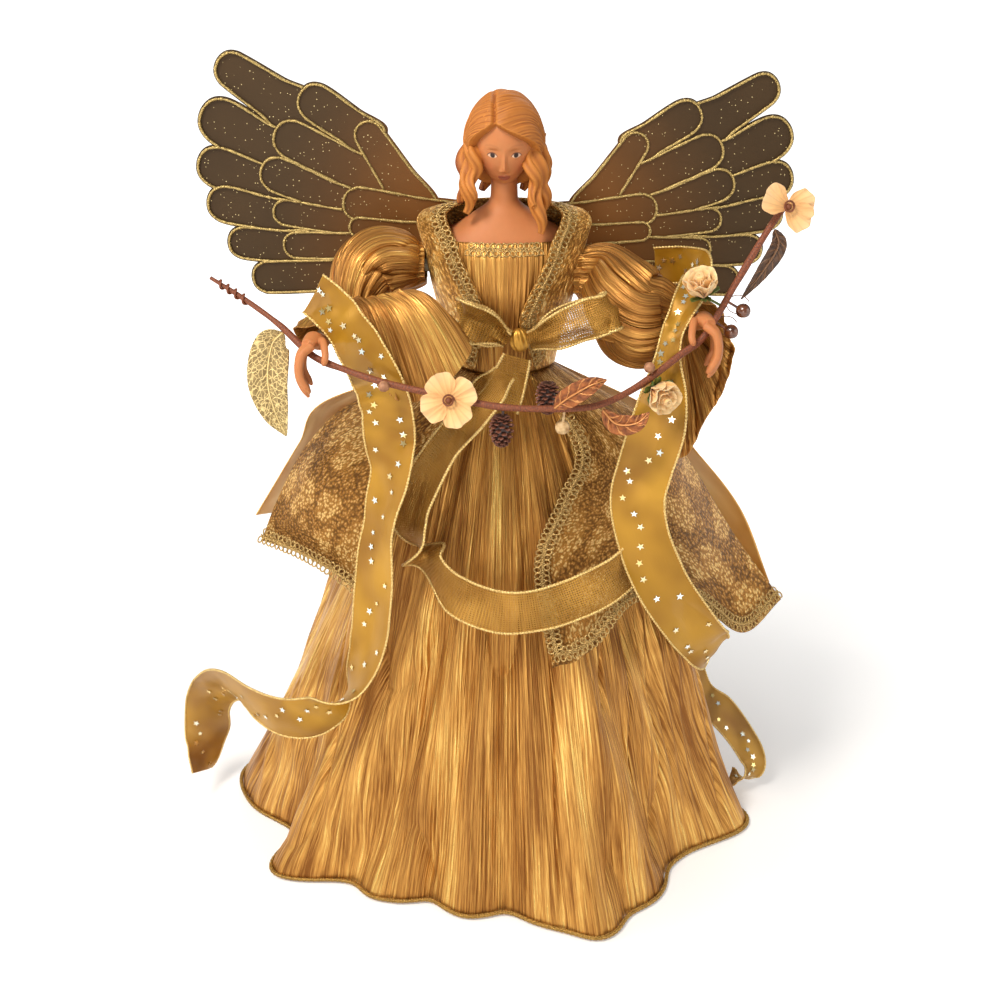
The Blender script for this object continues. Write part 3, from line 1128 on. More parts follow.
for name, side in (("left", -1), ("right", 1)):
    grip = on_stem(hand_shares[name])
    wrist = grip + np.array([-side * hand_length * 0.08, hand_length * 0.75, hand_length * 0.05])
    grips[name], wrists[name] = grip, wrist
    reach = np.array([side * hand_length, -hand_length, hand_length])
    share = np.linspace(0, 1, 26)
    tip = 1 - 0.22 * share - 0.5 * step_up(share, 0.86, 1.04)
    parts = [tube_part(spline(grip + np.array(rows) * reach, share), finger_radius * 1.15 * tip, 12)
             for rows in finger_shares]
    parts.append(tube_part(spline(grip + np.array(thumb_shares) * reach, share),
                           finger_radius * 1.05 * tip, 12))
    start = wrist + (0, -fit_gap, 0)
    palm_places = [start, start + (0, -arm_radius, 0)]
    palm_places += [grip + np.array(row) * reach
                    for row in ([0, -0.42, 0.14], [0, -0.2, 0.22], [0.06, 0.05, 0.2])]
    palm_radius = arm_radius * (0.8 + 0.4 * np.sin(share * math.pi))
    parts.append(tube_part(spline(np.array(palm_places), share), palm_radius, 16, flat=1.15))
    hand = add_piece(f"{name}_bisque_hand", None, parts, bisque)
    # The tubes are fused and smoothed, so the fingers grow out of the palm.
    fused = hand.modifiers.new("fused", "REMESH")
    fused.mode, fused.voxel_size, fused.use_smooth_shade = "VOXEL", 0.0004, True
    eased = hand.modifiers.new("eased", "SMOOTH")
    eased.factor, eased.iterations = 0.5, 4
    bpy.context.view_layer.update()
    graph = bpy.context.evaluated_depsgraph_get()
    cast = bpy.data.meshes.new_from_object(hand.evaluated_get(graph))
    hand.modifiers.clear()
    paint = (cast.color_attributes.get("paint")
             or cast.color_attributes.new("paint", "FLOAT_COLOR", "POINT"))
    paint.data.foreach_set("color", np.tile(np.array(skin_tone, np.float32), len(cast.vertices)))
    hand.data = cast
    if not cast.materials:
        cast.materials.append(bisque)
    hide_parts(f"{name}_hand")

# Sleeves. Each is a puff of crinkled lame gathered into the armhole and above the elbow, with a
# wide open bell below it. The cloth holds its pleats, and the bell's inside lies in shade.
vest_side_share = 1.24
puff_shares = {
    "left": [
        [0, 0.03, 0.02, 0.72], [0.18, 0.07, 0.06, 0.94], [0.38, 0.12, 0.06, 1.04],
        [0.54, 0.2, 0, 0.96], [0.63, 0.3, -0.16, 0.76], [0.66, 0.38, -0.3, 0.6]],
    "right": [
        [-0.1, 0.04, -0.03, 0.7], [0.13, 0.09, -0.06, 0.9], [0.3, 0.29, -0.22, 1.16],
        [0.49, 0.42, -0.34, 1.14], [0.68, 0.44, -0.33, 0.92], [0.82, 0.48, -0.33, 0.64]],
}
mouth_shares = {
    "left": [
        [-0.79, 0.11, -0.385, 0.4], [-0.6, -0.02, -0.13, 0.28], [-0.33, -0.26, 0.17, 0.1],
        [0.22, -0.46, 0.16, 0], [0.12, -0.64, -0.1, 0], [-0.31, -0.64, -0.05, 0],
        [-0.746, -0.52, 0.03, 0.14], [-1.18, -0.41, 0.02, 0.26], [-1.5, -0.26, 0.09, 0.34],
        [-1.59, -0.02, 0.03, 0.44], [-1.31, 0.13, -0.3, 0.46], [-1, 0.15, -0.45, 0.44]],
    "right": [
        [-0.03, -0.43, 0.2, 0], [-0.26, -0.26, 0.08, 0], [-0.44, -0.11, -0.235, 0],
        [-0.5, -0.04, -0.58, 0], [-0.42, -0.065, -0.93, 0], [-0.24, -0.17, -1.26, 0],
        [-0.07, -0.3, -1.43, 0], [0.1, -0.35, -1.08, 0], [0.28, -0.41, -0.76, 0],
        [0.39, -0.52, -0.39, 0], [0.34, -0.54, -0.12, 0], [0.19, -0.52, 0.1, 0]],
}
sleeve_lame = lame_finish("crinkled_sleeve_lame", "#80501e", "#c48c44", "#fcd270", 1.0)


def sections_along(path):
    """Two unit directions square to a path at each of its places, carried on without twist."""
    tangent = np.gradient(path, axis=0)
    tangent /= np.linalg.norm(tangent, axis=1, keepdims=True)
    first = np.eye(3)[np.argmin(np.abs(tangent[0]))]
    current = np.cross(tangent[0], np.cross(tangent[0], first))
    normals = []
    for row in tangent:
        current = current - row * current.dot(row)
        current = current / np.linalg.norm(current)
        normals.append(current)
    normals = np.array(normals)
    return normals, np.cross(tangent, normals)


for name, side in (("left", -1), ("right", 1)):
    grip = grips[name]
    rows = np.array(puff_shares[name])
    sewn = rows[0] + (-0.12, 0, 0, -0.12)
    rows = np.concatenate([[sewn], rows])
    start = vest_side_share * chest_half_width + cloth_thickness + fit_gap
    places = np.stack([
        side * (start + (abs(grip[0]) - start) * rows[:, 0]),
        grip[1] * rows[:, 1],
        arm_height + rows[:, 2] * sleeve_drop], 1)
    share = np.linspace(0, 1, 120)
    path = spline(places, share)
    radius_shares = np.stack([np.linspace(0, 1, len(rows)), rows[:, 3]], 1)
    radius = read_table(radius_shares, share)[:, 0] * puff_radius
    normal, binormal = sections_along(path)
    turn = np.linspace(0, 2 * math.pi, 480, endpoint=False)
    grid_turn, grid_share = np.meshgrid(turn, share)
    swell = np.sin(grid_share * math.pi)
    reach = radius[:, None] * (1 + 0.05 * np.cos(grid_turn * 6) * swell)
    gather = (1 - swell) ** 1.2
    pleat = grain(np.degrees(grid_turn), grid_share * 60, 12, 60, 71 + side, wrap=30)
    fine = grain(np.degrees(grid_turn), grid_share * 60, 4, 34, 73 + side, wrap=90)
    crushed = grain(np.degrees(grid_turn), grid_share * 60, 24, 26, 75 + side, wrap=15)
    creases = 2.4 * np.exp(-np.abs(crushed) / 0.12) * swell
    reach = reach + pleat * (0.8 + 1.2 * gather) + fine * 0.5 - 0.6 - creases
    grid = (path[:, None] + normal[:, None] * (np.cos(grid_turn) * reach)[..., None]
            + binormal[:, None] * (np.sin(grid_turn) * reach)[..., None])
    below = np.clip((path[:, None, 2] - grid[..., 2]) / puff_radius, 0, 1)
    grid[..., 2] -= (11 if side > 0 else 3) * below ** 1.5 * swell
    puff = add_piece(f"{name}_lame_puff", f"{name}_puff_sleeve",
                     sheet_part(grid, lame_thickness, (110, 62), True), sleeve_lame)

    tangent_end = path[-1] - path[-2]
    tangent_end /= np.linalg.norm(tangent_end)
    lift = fit_gap + cloth_thickness * (3 if side < 0 else 1)
    centre = path[-1] + tangent_end * lift
    up = np.array([0, 0, 1.0]) - tangent_end * tangent_end[2]
    up /= np.linalg.norm(up)
    across = np.cross(tangent_end, up)
    cuff_radius = rows[-1, 3] * puff_radius + cloth_thickness
    mouth_rows = np.array(mouth_shares[name])
    mouth_places = grip + mouth_rows[:, :3] * (side * sleeve_drop, -sleeve_drop, sleeve_drop)
    count = 420
    turn = np.arange(count) / count
    mouth = spline(mouth_places, turn, closed=True)
    billow = np.interp(turn * 12, np.arange(13), np.append(mouth_rows[:, 3], mouth_rows[0, 3]))
    angle = turn * 2 * math.pi
    cuff = (centre + np.cos(angle)[:, None] * up * cuff_radius
            + np.sin(angle)[:, None] * across * cuff_radius)
    share = np.linspace(0, 1, 110)[:, None, None]
    grid = cuff[None] * (1 - share) + mouth[None] * share
    grid[..., 2] += billow[None] * sleeve_drop * np.sin(share[..., 0] * math.pi)
    grid_turn, grid_share = np.meshgrid(turn * 360, np.linspace(0, 1, 110))
    pleat = grain(grid_turn, grid_share * 60, 12, 80, 81 + side, wrap=30)
    fine = grain(grid_turn, grid_share * 60, 4, 30, 83 + side, wrap=90)
    crushed = grain(grid_turn, grid_share * 60, 24, 36, 85 + side, wrap=15)
    creases = 2.0 * np.exp(-np.abs(crushed) / 0.12)
    ripple = pleat * (0.7 + 1.1 * grid_share) + fine * 0.45 - creases
    ripple = ripple * step_up(grid_share, 0, 0.15)
    grid = grid + face_normals(grid, True) * ripple[..., None]
    bell = add_piece(f"{name}_lame_bell", f"{name}_bell_sleeve",
                     sheet_part(grid, lame_thickness, (170, 70), True), sleeve_lame)

# Star ribbons. Sheer organza, 1 in wide, with a gold cord woven over wire in each edge and small
# foil stars glued along it. One hangs from each hand down to the floor.
star_ribbon_width, mesh_ribbon_width = 25.4, 22.2
left_star_shares = [
    [-63.4, -0.176, 0.878, -0.4, 0.31, 0.86, 0.85], [-58.8, -0.156, 0.835, -0.38, 0.34, 0.86, 0.85],
    [-53.4, -0.125, 0.801, -0.36, 0.46, 0.81, 0.9], [-46.6, -0.077, 0.774, -0.38, 0.78, 0.51, 0.95],
    [-42, -0.033, 0.761, -0.38, 0.9, 0.2], [-40.6, 0.015, 0.741, -0.39, 0.92, 0],
    [-41.5, 0.062, 0.727, -0.41, 0.91, 0], [-41, 0.13, 0.74, 0, 1, -0.1],
    [-42, 0.22, 0.8, 0.2, 1, -0.1], [-42, 0.32, 0.84, 0, 1, 0.1], [-42, 0.43, 0.88, 0, 1, 0.2],
    [-45, 0.52, 0.95, 0, 0.8, 0.6], [-49, 0.575, 1.04, 0, 0.4, 0.9], [-56, 0.61, 1.15, 0.1, 0.1, 1],
    [-65, 0.62, 1.25, 0.2, 0, 1], [-76, 0.63, 1.33, 0.4, 0, 0.9], [-86, 0.68, 1.42, 0.7, 0, 0.7],
    [-92, 0.76, 1.52, 0.8, 0, 0.4], [-94, 0.86, 1.56, 0.6, 0.4, 0.4],
    [-91, 0.925, 1.58, 0.2, 0.9, 0.3],
]
right_star_shares = [
    [89.2, -0.184, 0.661, 0, 0.1, 1, 0.7], [85.9, -0.191, 0.752, -0.1, 0, 1, 0.7],
    [79.4, -0.199, 0.827, 0.06, 0.22, 0.97, 0.65], [71.2, -0.206, 0.858, 0.66, 0.44, 0.61, 0.6],
    [62.9, -0.178, 0.863, 0.89, 0.34, 0.31, 0.55], [56.5, -0.143, 0.857, 0.98, 0.17, 0.1, 0.45],
    [53.2, -0.11, 0.85, 0.99, 0.11, 0, 0.4], [51.5, -0.074, 0.855, 0.97, 0.25, 0, 0.5],
    [49.9, -0.022, 0.861, 0.92, 0.39, 0, 0.8], [47.1, 0.037, 0.866, 0.85, 0.52, 0, 1],
    [44.1, 0.107, 0.846, 0.82, 0.57, 0, 1], [42.4, 0.169, 0.834, 0.81, 0.59, 0, 1],
    [43.5, 0.243, 0.868, 0.81, 0.57, -0.1, 1], [47.3, 0.331, 0.935, 0.55, 0.78, -0.3, 1],
    [54.3, 0.421, 1.011, 0.54, 0.75, -0.39, 1], [61, 0.482, 1.051, 0.45, 0.81, -0.39, 1],
    [66.7, 0.522, 1.06, 0.35, 0.85, 0.4, 0.85], [77.6, 0.555, 0.997, 0, 0.31, 0.95, 0.7],
    [88, 0.577, 1.018, 0, 0.2, 0.98, 0.7], [100.6, 0.596, 0.972, -0.06, 0.29, 0.95, 0.75],
    [108.6, 0.632, 1.008, 0.06, 0.44, 0.9, 0.8], [104.4, 0.788, 1.078, 0.45, 0.52, 0.72, 0.75],
    [101.7, 0.833, 1.19, 0.49, 0.54, 0.68, 0.75], [98.4, 0.886, 1.286, 0.63, 0.56, 0.54, 0.7],
    [95.4, 0.925, 1.334, 0.84, 0.5, 0.21, 0.65], [93.5, 0.952, 1.315, 0.76, 0.57, -0.31, 0.6],
    [94.5, 0.969, 1.263, 0.4, 0.86, -0.33, 0.55], [95.9, 0.971, 1.216, 0.19, 0.83, 0.53, 0.5],
]


def strip_grid(places, acrosses, widths, steps, columns):
    """Grid of a flat strip along places, with its width's direction and its width at each step."""
    share = np.linspace(0, 1, steps + 1)
    middle = spline(places, share)
    tangent = (spline(places, np.clip(share + 1e-4, 0, 1))
               - spline(places, np.clip(share - 1e-4, 0, 1)))
    tangent /= np.linalg.norm(tangent, axis=1, keepdims=True)
    across = spline(acrosses, share)
    across = across - tangent * (across * tangent).sum(1, keepdims=True)
    across /= np.linalg.norm(across, axis=1, keepdims=True)
    spread = np.linspace(-0.5, 0.5, columns)
    return middle[:, None] + across[:, None] * (np.asarray(widths)[:, None] * spread)[..., None]


def ribbon_grid(rows, width, steps, columns):
    """Grid of a ribbon from rows of bearing, drop, radius share, width direction and gather."""
    table = np.array([row + [1] * (7 - len(row)) for row in rows], float)
    places = place_around(table[:, 0], table[:, 1], table[:, 2] * hem_radius)
    angle = np.radians(table[:, 0])
    acrosses = np.stack([
        table[:, 3] * np.sin(angle) + table[:, 4] * np.cos(angle),
        -table[:, 3] * np.cos(angle) + table[:, 4] * np.sin(angle), table[:, 5]], 1)
    share = np.linspace(0, 1, steps + 1)
    width_shares = np.stack([np.linspace(0, 1, len(table)), table[:, 6]], 1)
    widths = width * read_table(width_shares, share)[:, 0]
    return strip_grid(places, acrosses, widths, steps, columns)


def strip_length(grid):
    middle = grid[:, grid.shape[1] // 2]
    return np.linalg.norm(np.diff(middle, axis=0), axis=1).sum()


def edge_cords(grid, radius, pitch=1.7):
    """Cord along each long edge of a strip, wound so that it reads as beads of gold thread."""
    parts = []
    for column in (0, -1):
        path, marks, _ = even_path(grid[:, column], 0.42)
        beads = radius * (1 + 0.3 * np.cos(marks / pitch * 2 * math.pi))
        parts.append(tube_part(path, beads, 7))
    return parts


# Organza: sheer plain weave of yellow-gold nylon. You see through it, more where it faces you.
organza, tree, shader, place = new_finish("gold_organza", True, Metallic=0.3, Roughness=0.4)
cloudy = noise(tree, place, 0.03)
tone_by(tree, shader, cloudy, (0.35, "#96660c"), (0.65, "#c08e22"))
rim = add_node(tree, "LayerWeight", {"Blend": 0.35})
cover = remap(tree, rim.outputs["Facing"], to_low=0.84, to_high=0.99)
join(cover, shader, "Alpha")
weft_map = stretch(tree, place, (1 / 0.5, 1 / 7, 1))
weft = noise(tree, weft_map, 1)
add_bump(tree, shader, weft, 0.35, 0.0003)

gold_cord = finish_gimp("gold_edge_cord", "#a47a2c", "#ffe39a")

# Star sequins: stamped foil, mirror bright, silvered with a rainbow tint.
foil_star, tree, shader, place = new_finish("stamped_foil_star", Metallic=0.9, Roughness=0.18)
tint = noise(tree, place, 120, 1)
tone_by(tree, shader, tint, (0.4, "#e8cd86"), (0.6, "#f2fbf2"))


def star_parts(grid, spacing, radius, seed):
    """Foil stars scattered along a strip, lying just off one face and the other."""
    chance = np.random.default_rng(seed)
    normals = face_normals(grid)
    parts = []
    length = strip_length(grid)
    for index in range(int(length / spacing)):
        row = int((index + chance.uniform(0.2, 0.8)) * spacing / length * (grid.shape[0] - 2))
        column = int(chance.uniform(0.16, 0.84) * (grid.shape[1] - 1))
        row = min(max(row, 1), grid.shape[0] - 2)
        normal = normals[row, column]
        along = grid[row + 1, column] - grid[row - 1, column]
        along /= np.linalg.norm(along)
        over = np.cross(normal, along)
        size = radius * chance.uniform(0.75, 1.1)
        spin = chance.uniform(0, 2 * math.pi)
        angle = spin + np.arange(10) / 10 * 2 * math.pi
        reach = np.where(np.arange(10) % 2 == 0, size, size * 0.42)
        outline = (grid[row, column] + (np.cos(angle) * reach)[:, None] * along
                   + (np.sin(angle) * reach)[:, None] * over)
        parts.append(rings_part([outline + normal * 0.5, outline + normal * 0.65]))
        parts.append(rings_part([outline - normal * 0.65, outline - normal * 0.5]))
    return parts


for name, rows, steps, seed in (("left", left_star_shares, 520, 91),
                                ("right", right_star_shares, 620, 92)):
    grid = ribbon_grid(rows, star_ribbon_width, steps, 41)
    share_grid, column_grid = np.meshgrid(np.arange(steps + 1) * strip_length(grid) / steps,
                                          np.linspace(-1, 1, 41), indexing="ij")
    soft = 0.9 * grain(share_grid, column_grid * 12, 11, 9, seed) + 0.8 * (column_grid ** 2 - 0.4)
    grid = grid + face_normals(grid) * soft[..., None]
    length = strip_length(grid)
    ribbon = add_piece(f"{name}_organza_ribbon", f"{name}_star_ribbon",
                       sheet_part(grid, 0.25, (25.4, length)), organza)
    cords = add_piece(f"{name}_organza_edges", None, edge_cords(grid, 0.55), gold_cord)
    stars = add_piece(f"{name}_foil_stars", None, star_parts(grid, 6.5, 1.9, seed + 5), foil_star,
                      smooth=False)

# Bow. Woven gold mesh ribbon, 7/8 in wide with wired edges, is knotted on the front of the vest.
# One tail is cut short, and the long one swings across the gown and up under the right ribbon.
bow_bearing, bow_height_share, bow_loop_length = 14, 0.28, 34
second_layer = first_layer + cloth_thickness + fit_gap
bow_loop_shares = {
    "left": [
        [-0.03, 0.08, 0.03], [-0.32, 0.26, 0.22], [-0.6, 0.32, 0.38], [-0.76, 0.24, 0.4],
        [-0.77, 0.1, 0.36], [-0.58, 0.02, 0.3], [-0.32, 0, 0.16], [-0.03, 0.02, 0]],
    "right": [
        [0.03, 0.08, 0.03], [0.4, 0.42, 0.26], [0.8, 0.66, 0.5], [1.04, 0.68, 0.6],
        [1.04, 0.52, 0.56], [0.8, 0.36, 0.44], [0.42, 0.08, 0.22], [0.03, 0.02, 0]],
}
long_tail_shares = [
    [0, -0.03, 0.37, 0.2, 0.9, 0.3, 0.6], [-8, -0.005, 0.41, 0.1, 0.9, 0.4, 0.9],
    [-18, 0.04, 0.47, 0, 0.9, 0.5],
    [-29, 0.1, 0.55, 0, 0.9, 0.5], [-35, 0.165, 0.63, 0, 0.95, 0.3],
    [-37, 0.225, 0.68, 0, 0.9, -0.3],
    [-31, 0.29, 0.66, 0, 0.5, -0.9], [-18, 0.345, 0.69, 0, 0.2, -1], [-2, 0.37, 0.7, 0, 0, -1],
    [12, 0.365, 0.72, 0, -0.1, -1], [24, 0.345, 0.76, 0, -0.2, -1], [35, 0.32, 0.8, 0, -0.3, -0.9],
    [46, 0.29, 0.82, 0, -0.4, -0.85],
]

# Woven mesh: flat gold yarns about 0.8 mm apart with gaps between, so the cloth below shows a
# little. Drawn at 1.2 mm so that it shows in the render.
mesh_cloth, tree, shader, place = new_finish("woven_gold_mesh", True, Metallic=0.6, Roughness=0.4)
warp = add_node(tree, "TexWave", {"Vector": place, "Scale": 0.26, "Distortion": 0.4},
                bands_direction="X")
weft = add_node(tree, "TexWave", {"Vector": place, "Scale": 0.26, "Distortion": 0.4},
                bands_direction="Y")
yarn = maths(tree, "MAXIMUM", warp.outputs["Fac"], weft.outputs["Fac"])
cloudy = noise(tree, place, 0.04)
tone_by(tree, shader, cloudy, (0.35, "#9c6e26"), (0.65, "#c99742"))
gaps = remap(tree, yarn, 0.58, 0.97, 0.12, 0.92)
join(gaps, shader, "Alpha")
add_bump(tree, shader, yarn, 0.6, 0.0004)

knot = body_place(bow_bearing, bow_height_share, second_layer + cloth_thickness + fit_gap)
knot = knot + (0, -mesh_ribbon_width * 0.22, 0)
knot_radius = mesh_ribbon_width * 0.2


def knot_place(longitude, latitude):
    creases = 1 + 0.07 * np.sin(longitude * 9 + latitude * 3)
    level = np.cos(latitude) * creases
    return knot + np.stack([
        knot_radius * np.sin(longitude) * level * 1.1,
        -knot_radius * np.cos(longitude) * level * 0.9,
        knot_radius * np.sin(latitude) * 1.35 + 0 * longitude], -1)


knot_finish = lame_finish("knotted_mesh", "#93661f", "#c9973f", "#f2cd74", 0.9)
add_piece("bow_knot_wrap", "bow_knot", ball_part(knot_place, 90, 50), knot_finish)


def add_mesh_ribbon(name, node_name, grid):
    """Mesh ribbon with its wired edges, standing for a node."""
    length = strip_length(grid)
    ribbon = add_piece(name, node_name, sheet_part(grid, 0.3, (22.2, length)), mesh_cloth)
    cords = add_piece(f"{name}_edges", None, edge_cords(grid, 0.7, 1.5), gold_cord)


for name, side in (("left", -1), ("right", 1)):
    rows = np.array(bow_loop_shares[name])
    start = knot + (side * knot_radius * 1.1, 0, 0)
    places = start + rows * (bow_loop_length, -bow_loop_length, bow_loop_length)
    acrosses = np.tile([-side * 0.35, -0.1, 1.0], (len(rows), 1))
    share = np.linspace(0, 1, 181)
    pinch = 0.8 - 0.42 * (blob(share / 0.1) + blob((1 - share) / 0.1))
    grid = strip_grid(places, acrosses, mesh_ribbon_width * pinch, 180, 31)
    along, column = np.meshgrid(share * 70, np.linspace(-1, 1, 31), indexing="ij")
    bulge = 2.8 * (1 - column ** 2) + 2.4 * grain(along, column * 10, 7, 5, 95 + side)
    grid = grid + face_normals(grid) * bulge[..., None]
    add_mesh_ribbon(f"bow_{name}_loop_mesh", f"bow_{name}_loop", grid)
below = knot + (-knot_radius * 0.2, 0, -knot_radius * 1.45 - fit_gap)
places = below + np.array([[-0.02, 0.1, -0.04], [-0.14, 0.12, -0.4], [-0.3, 0.28, -0.8],
                           [-0.44, 0.34, -1.05]]) * (
    mesh_ribbon_width, -mesh_ribbon_width, mesh_ribbon_width)
acrosses = np.tile([1, 0.2, -0.3], (4, 1))
grid = strip_grid(places, acrosses, mesh_ribbon_width * np.linspace(0.6, 1, 81), 80, 31)
add_mesh_ribbon("bow_short_tail_mesh", "bow_short_tail", grid)
grid = ribbon_grid(long_tail_shares, mesh_ribbon_width, 420, 31)
along, column = np.meshgrid(np.linspace(0, strip_length(grid), 421), np.linspace(-1, 1, 31),
                            indexing="ij")
bulge = 0.9 * grain(along, column * 10, 17, 12, 97) + 0.7 * column ** 2
grid = grid + face_normals(grid) * bulge[..., None]
add_mesh_ribbon("bow_long_tail_mesh", "bow_long_tail", grid)

# Wings. Each is a panel of bronze satin over card, cut as overlapping feathers, with a wire
# frame of gold glitter glued along every feather's edge. The frame's eyes turn on a staple.
wing_reach, wing_root_side, wing_root_height = 135, 20, 330
wing_panel_thickness, wing_wire_radius, wing_stand_off = 0.9, 1.1, 8
right_wing_droop, right_wing_reach, staple_wire_radius = 2, 0.93, 0.9
staple_side, staple_height, feather_border = 13, 26, 1.3
feather_shares = [
    [0.893, 0.631, 0.653, 0.468, 0.15, 0.19], [0.966, 0.458, 0.733, 0.316, 0.19, 0.18],
    [0.996, 0.276, 0.739, 0.181, 0.17, 0.15], [0.974, 0.127, 0.708, 0.068, 0.155, 0.13],
    [0.909, -0.029, 0.655, -0.053, 0.14, 0.14], [0.827, -0.17, 0.45, -0.16, 0.141, 0.134],
    [0.601, 0.52, 0.384, 0.372, 0.155, 0.14], [0.704, 0.383, 0.371, 0.214, 0.16, 0.15],
    [0.765, 0.248, 0.468, 0.124, 0.15, 0.12], [0.731, 0.089, 0.431, 0.038, 0.115, 0.11],
    [0.701, -0.043, 0.38, -0.05, 0.119, 0.12], [0.383, 0.414, 0.216, 0.15, 0.125, 0.165],
    [0.466, 0.121, 0.084, 0.069, 0.145, 0.11], [0.447, 0.028, 0.18, 0, 0.095, 0.1],
]
feather_tuck, feather_cap, feather_power = 0.3, 0.62, 2.3
staple_back = chest_half_depth + wing_stand_off
wing_plane_back = staple_back + 2 * staple_wire_radius + 2 * wing_wire_radius + 2 * fit_gap
staple_top = wing_root_height - fit_gap - staple_wire_radius
frame_plane_back = wing_plane_back - wing_panel_thickness / 2 - fit_gap - wing_wire_radius


def feather_outline(shares, count, inset=0.0):
    """Outline of a feather on the wing's plane, out from the root and up, drawn in by an inset."""
    tip = np.array(shares[:2]) * wing_reach
    inner = np.array(shares[2:4]) * wing_reach
    inward = inner + (inner - tip) * feather_tuck - tip
    length = np.linalg.norm(inward) - 2 * inset
    inward = inward / np.linalg.norm(inward)
    tip = tip + inward * inset
    tip_half, inner_half = np.array(shares[4:]) * wing_reach / 2 - inset
    cap = 2 * tip_half * feather_cap
    rows = [[(1 - max(math.cos(angle), 0) ** (2 / feather_power)) * cap,
             tip_half * math.sin(angle) ** (2 / feather_power)]
            for angle in np.radians([30, 60, 90])]
    rows += [[(cap + length) / 2, (tip_half + inner_half) / 2], [length, inner_half]]
    rows = np.array([[0, 0]] + rows + [[along, -half] for along, half in rows[::-1]])
    across = np.array([-inward[1], inward[0]])
    corners = tip + rows[:, :1] * inward + rows[:, 1:] * across
    flat = np.concatenate([corners, np.zeros((len(corners), 1))], 1)
    return spline(flat, np.arange(count) / count, closed=True)[:, :2]


def inside(points, outline):
    """Whether each point lies inside an outline."""
    x, y = points[:, 0:1], points[:, 1:2]
    ax, ay = outline[:, 0], outline[:, 1]
    bx, by = np.roll(ax, -1), np.roll(ay, -1)
    spans = (ay > y) != (by > y)
    crossing = ax + (y - ay) / np.where(by == ay, 1e-9, by - ay) * (bx - ax)
    return (spans & (x < crossing)).sum(1) % 2 == 1


def wing_place(side, outline, back):
    """Places on a wing from an outline on its plane, at depths behind the body's axis."""
    droop = math.radians(-right_wing_droop) if side > 0 else 0
    c, s = math.cos(droop), math.sin(droop)
    x, y = (outline * (right_wing_reach if side > 0 else 1)).T
    return np.stack([side * (wing_root_side + c * x - s * y), np.broadcast_to(back, x.shape),
                     wing_root_height + s * x + c * y], 1)


# Bronze satin: dark brown with a low shine, warmer and browner near the root where the lamp
# light comes through, and dusted with specks of gold glitter.
bronze, tree, shader, place = new_finish("glitter_dusted_bronze_satin", Metallic=0.5,
                                         Roughness=0.55)
root = maths(tree, "DISTANCE", place, (0, 0.036, 0.318), kind="VectorMath")
near = remap(tree, root.outputs["Value"], 0.03, 0.125, interpolation_type="SMOOTHSTEP")
tone = add_ramp(tree, near, (0, "#784a18"), (1, "#3f2c12"))
cloud = noise(tree, place, 45, 4)
depth = remap(tree, cloud, to_low=0.78, to_high=1.2)
shaded = maths(tree, "MULTIPLY", tone, depth, kind="VectorMath")
dust = add_node(tree, "TexVoronoi", {"Vector": place, "Scale": 620})
speck = maths(tree, "LESS_THAN", dust, 0.14)
lucky = add_node(tree, "SeparateColor", {0: dust.outputs["Color"]})
some = maths(tree, "GREATER_THAN", lucky, 0.6)
shown = maths(tree, "MULTIPLY", speck, some)
flecked = add_node(tree, "Mix", {"Factor": shown, 6: shaded, 7: colour("#e9d49a")},
                   data_type="RGBA")
join(flecked.outputs[2], shader, "Base Color")
silk_map = stretch(tree, place, (300, 300, 2600))
silk = noise(tree, silk_map, 1)
add_bump(tree, shader, silk, 0.22, 0.0002)

glitter_wire = finish_gimp("gold_glitter_wire", "#5f4a20", "#d9bd78")

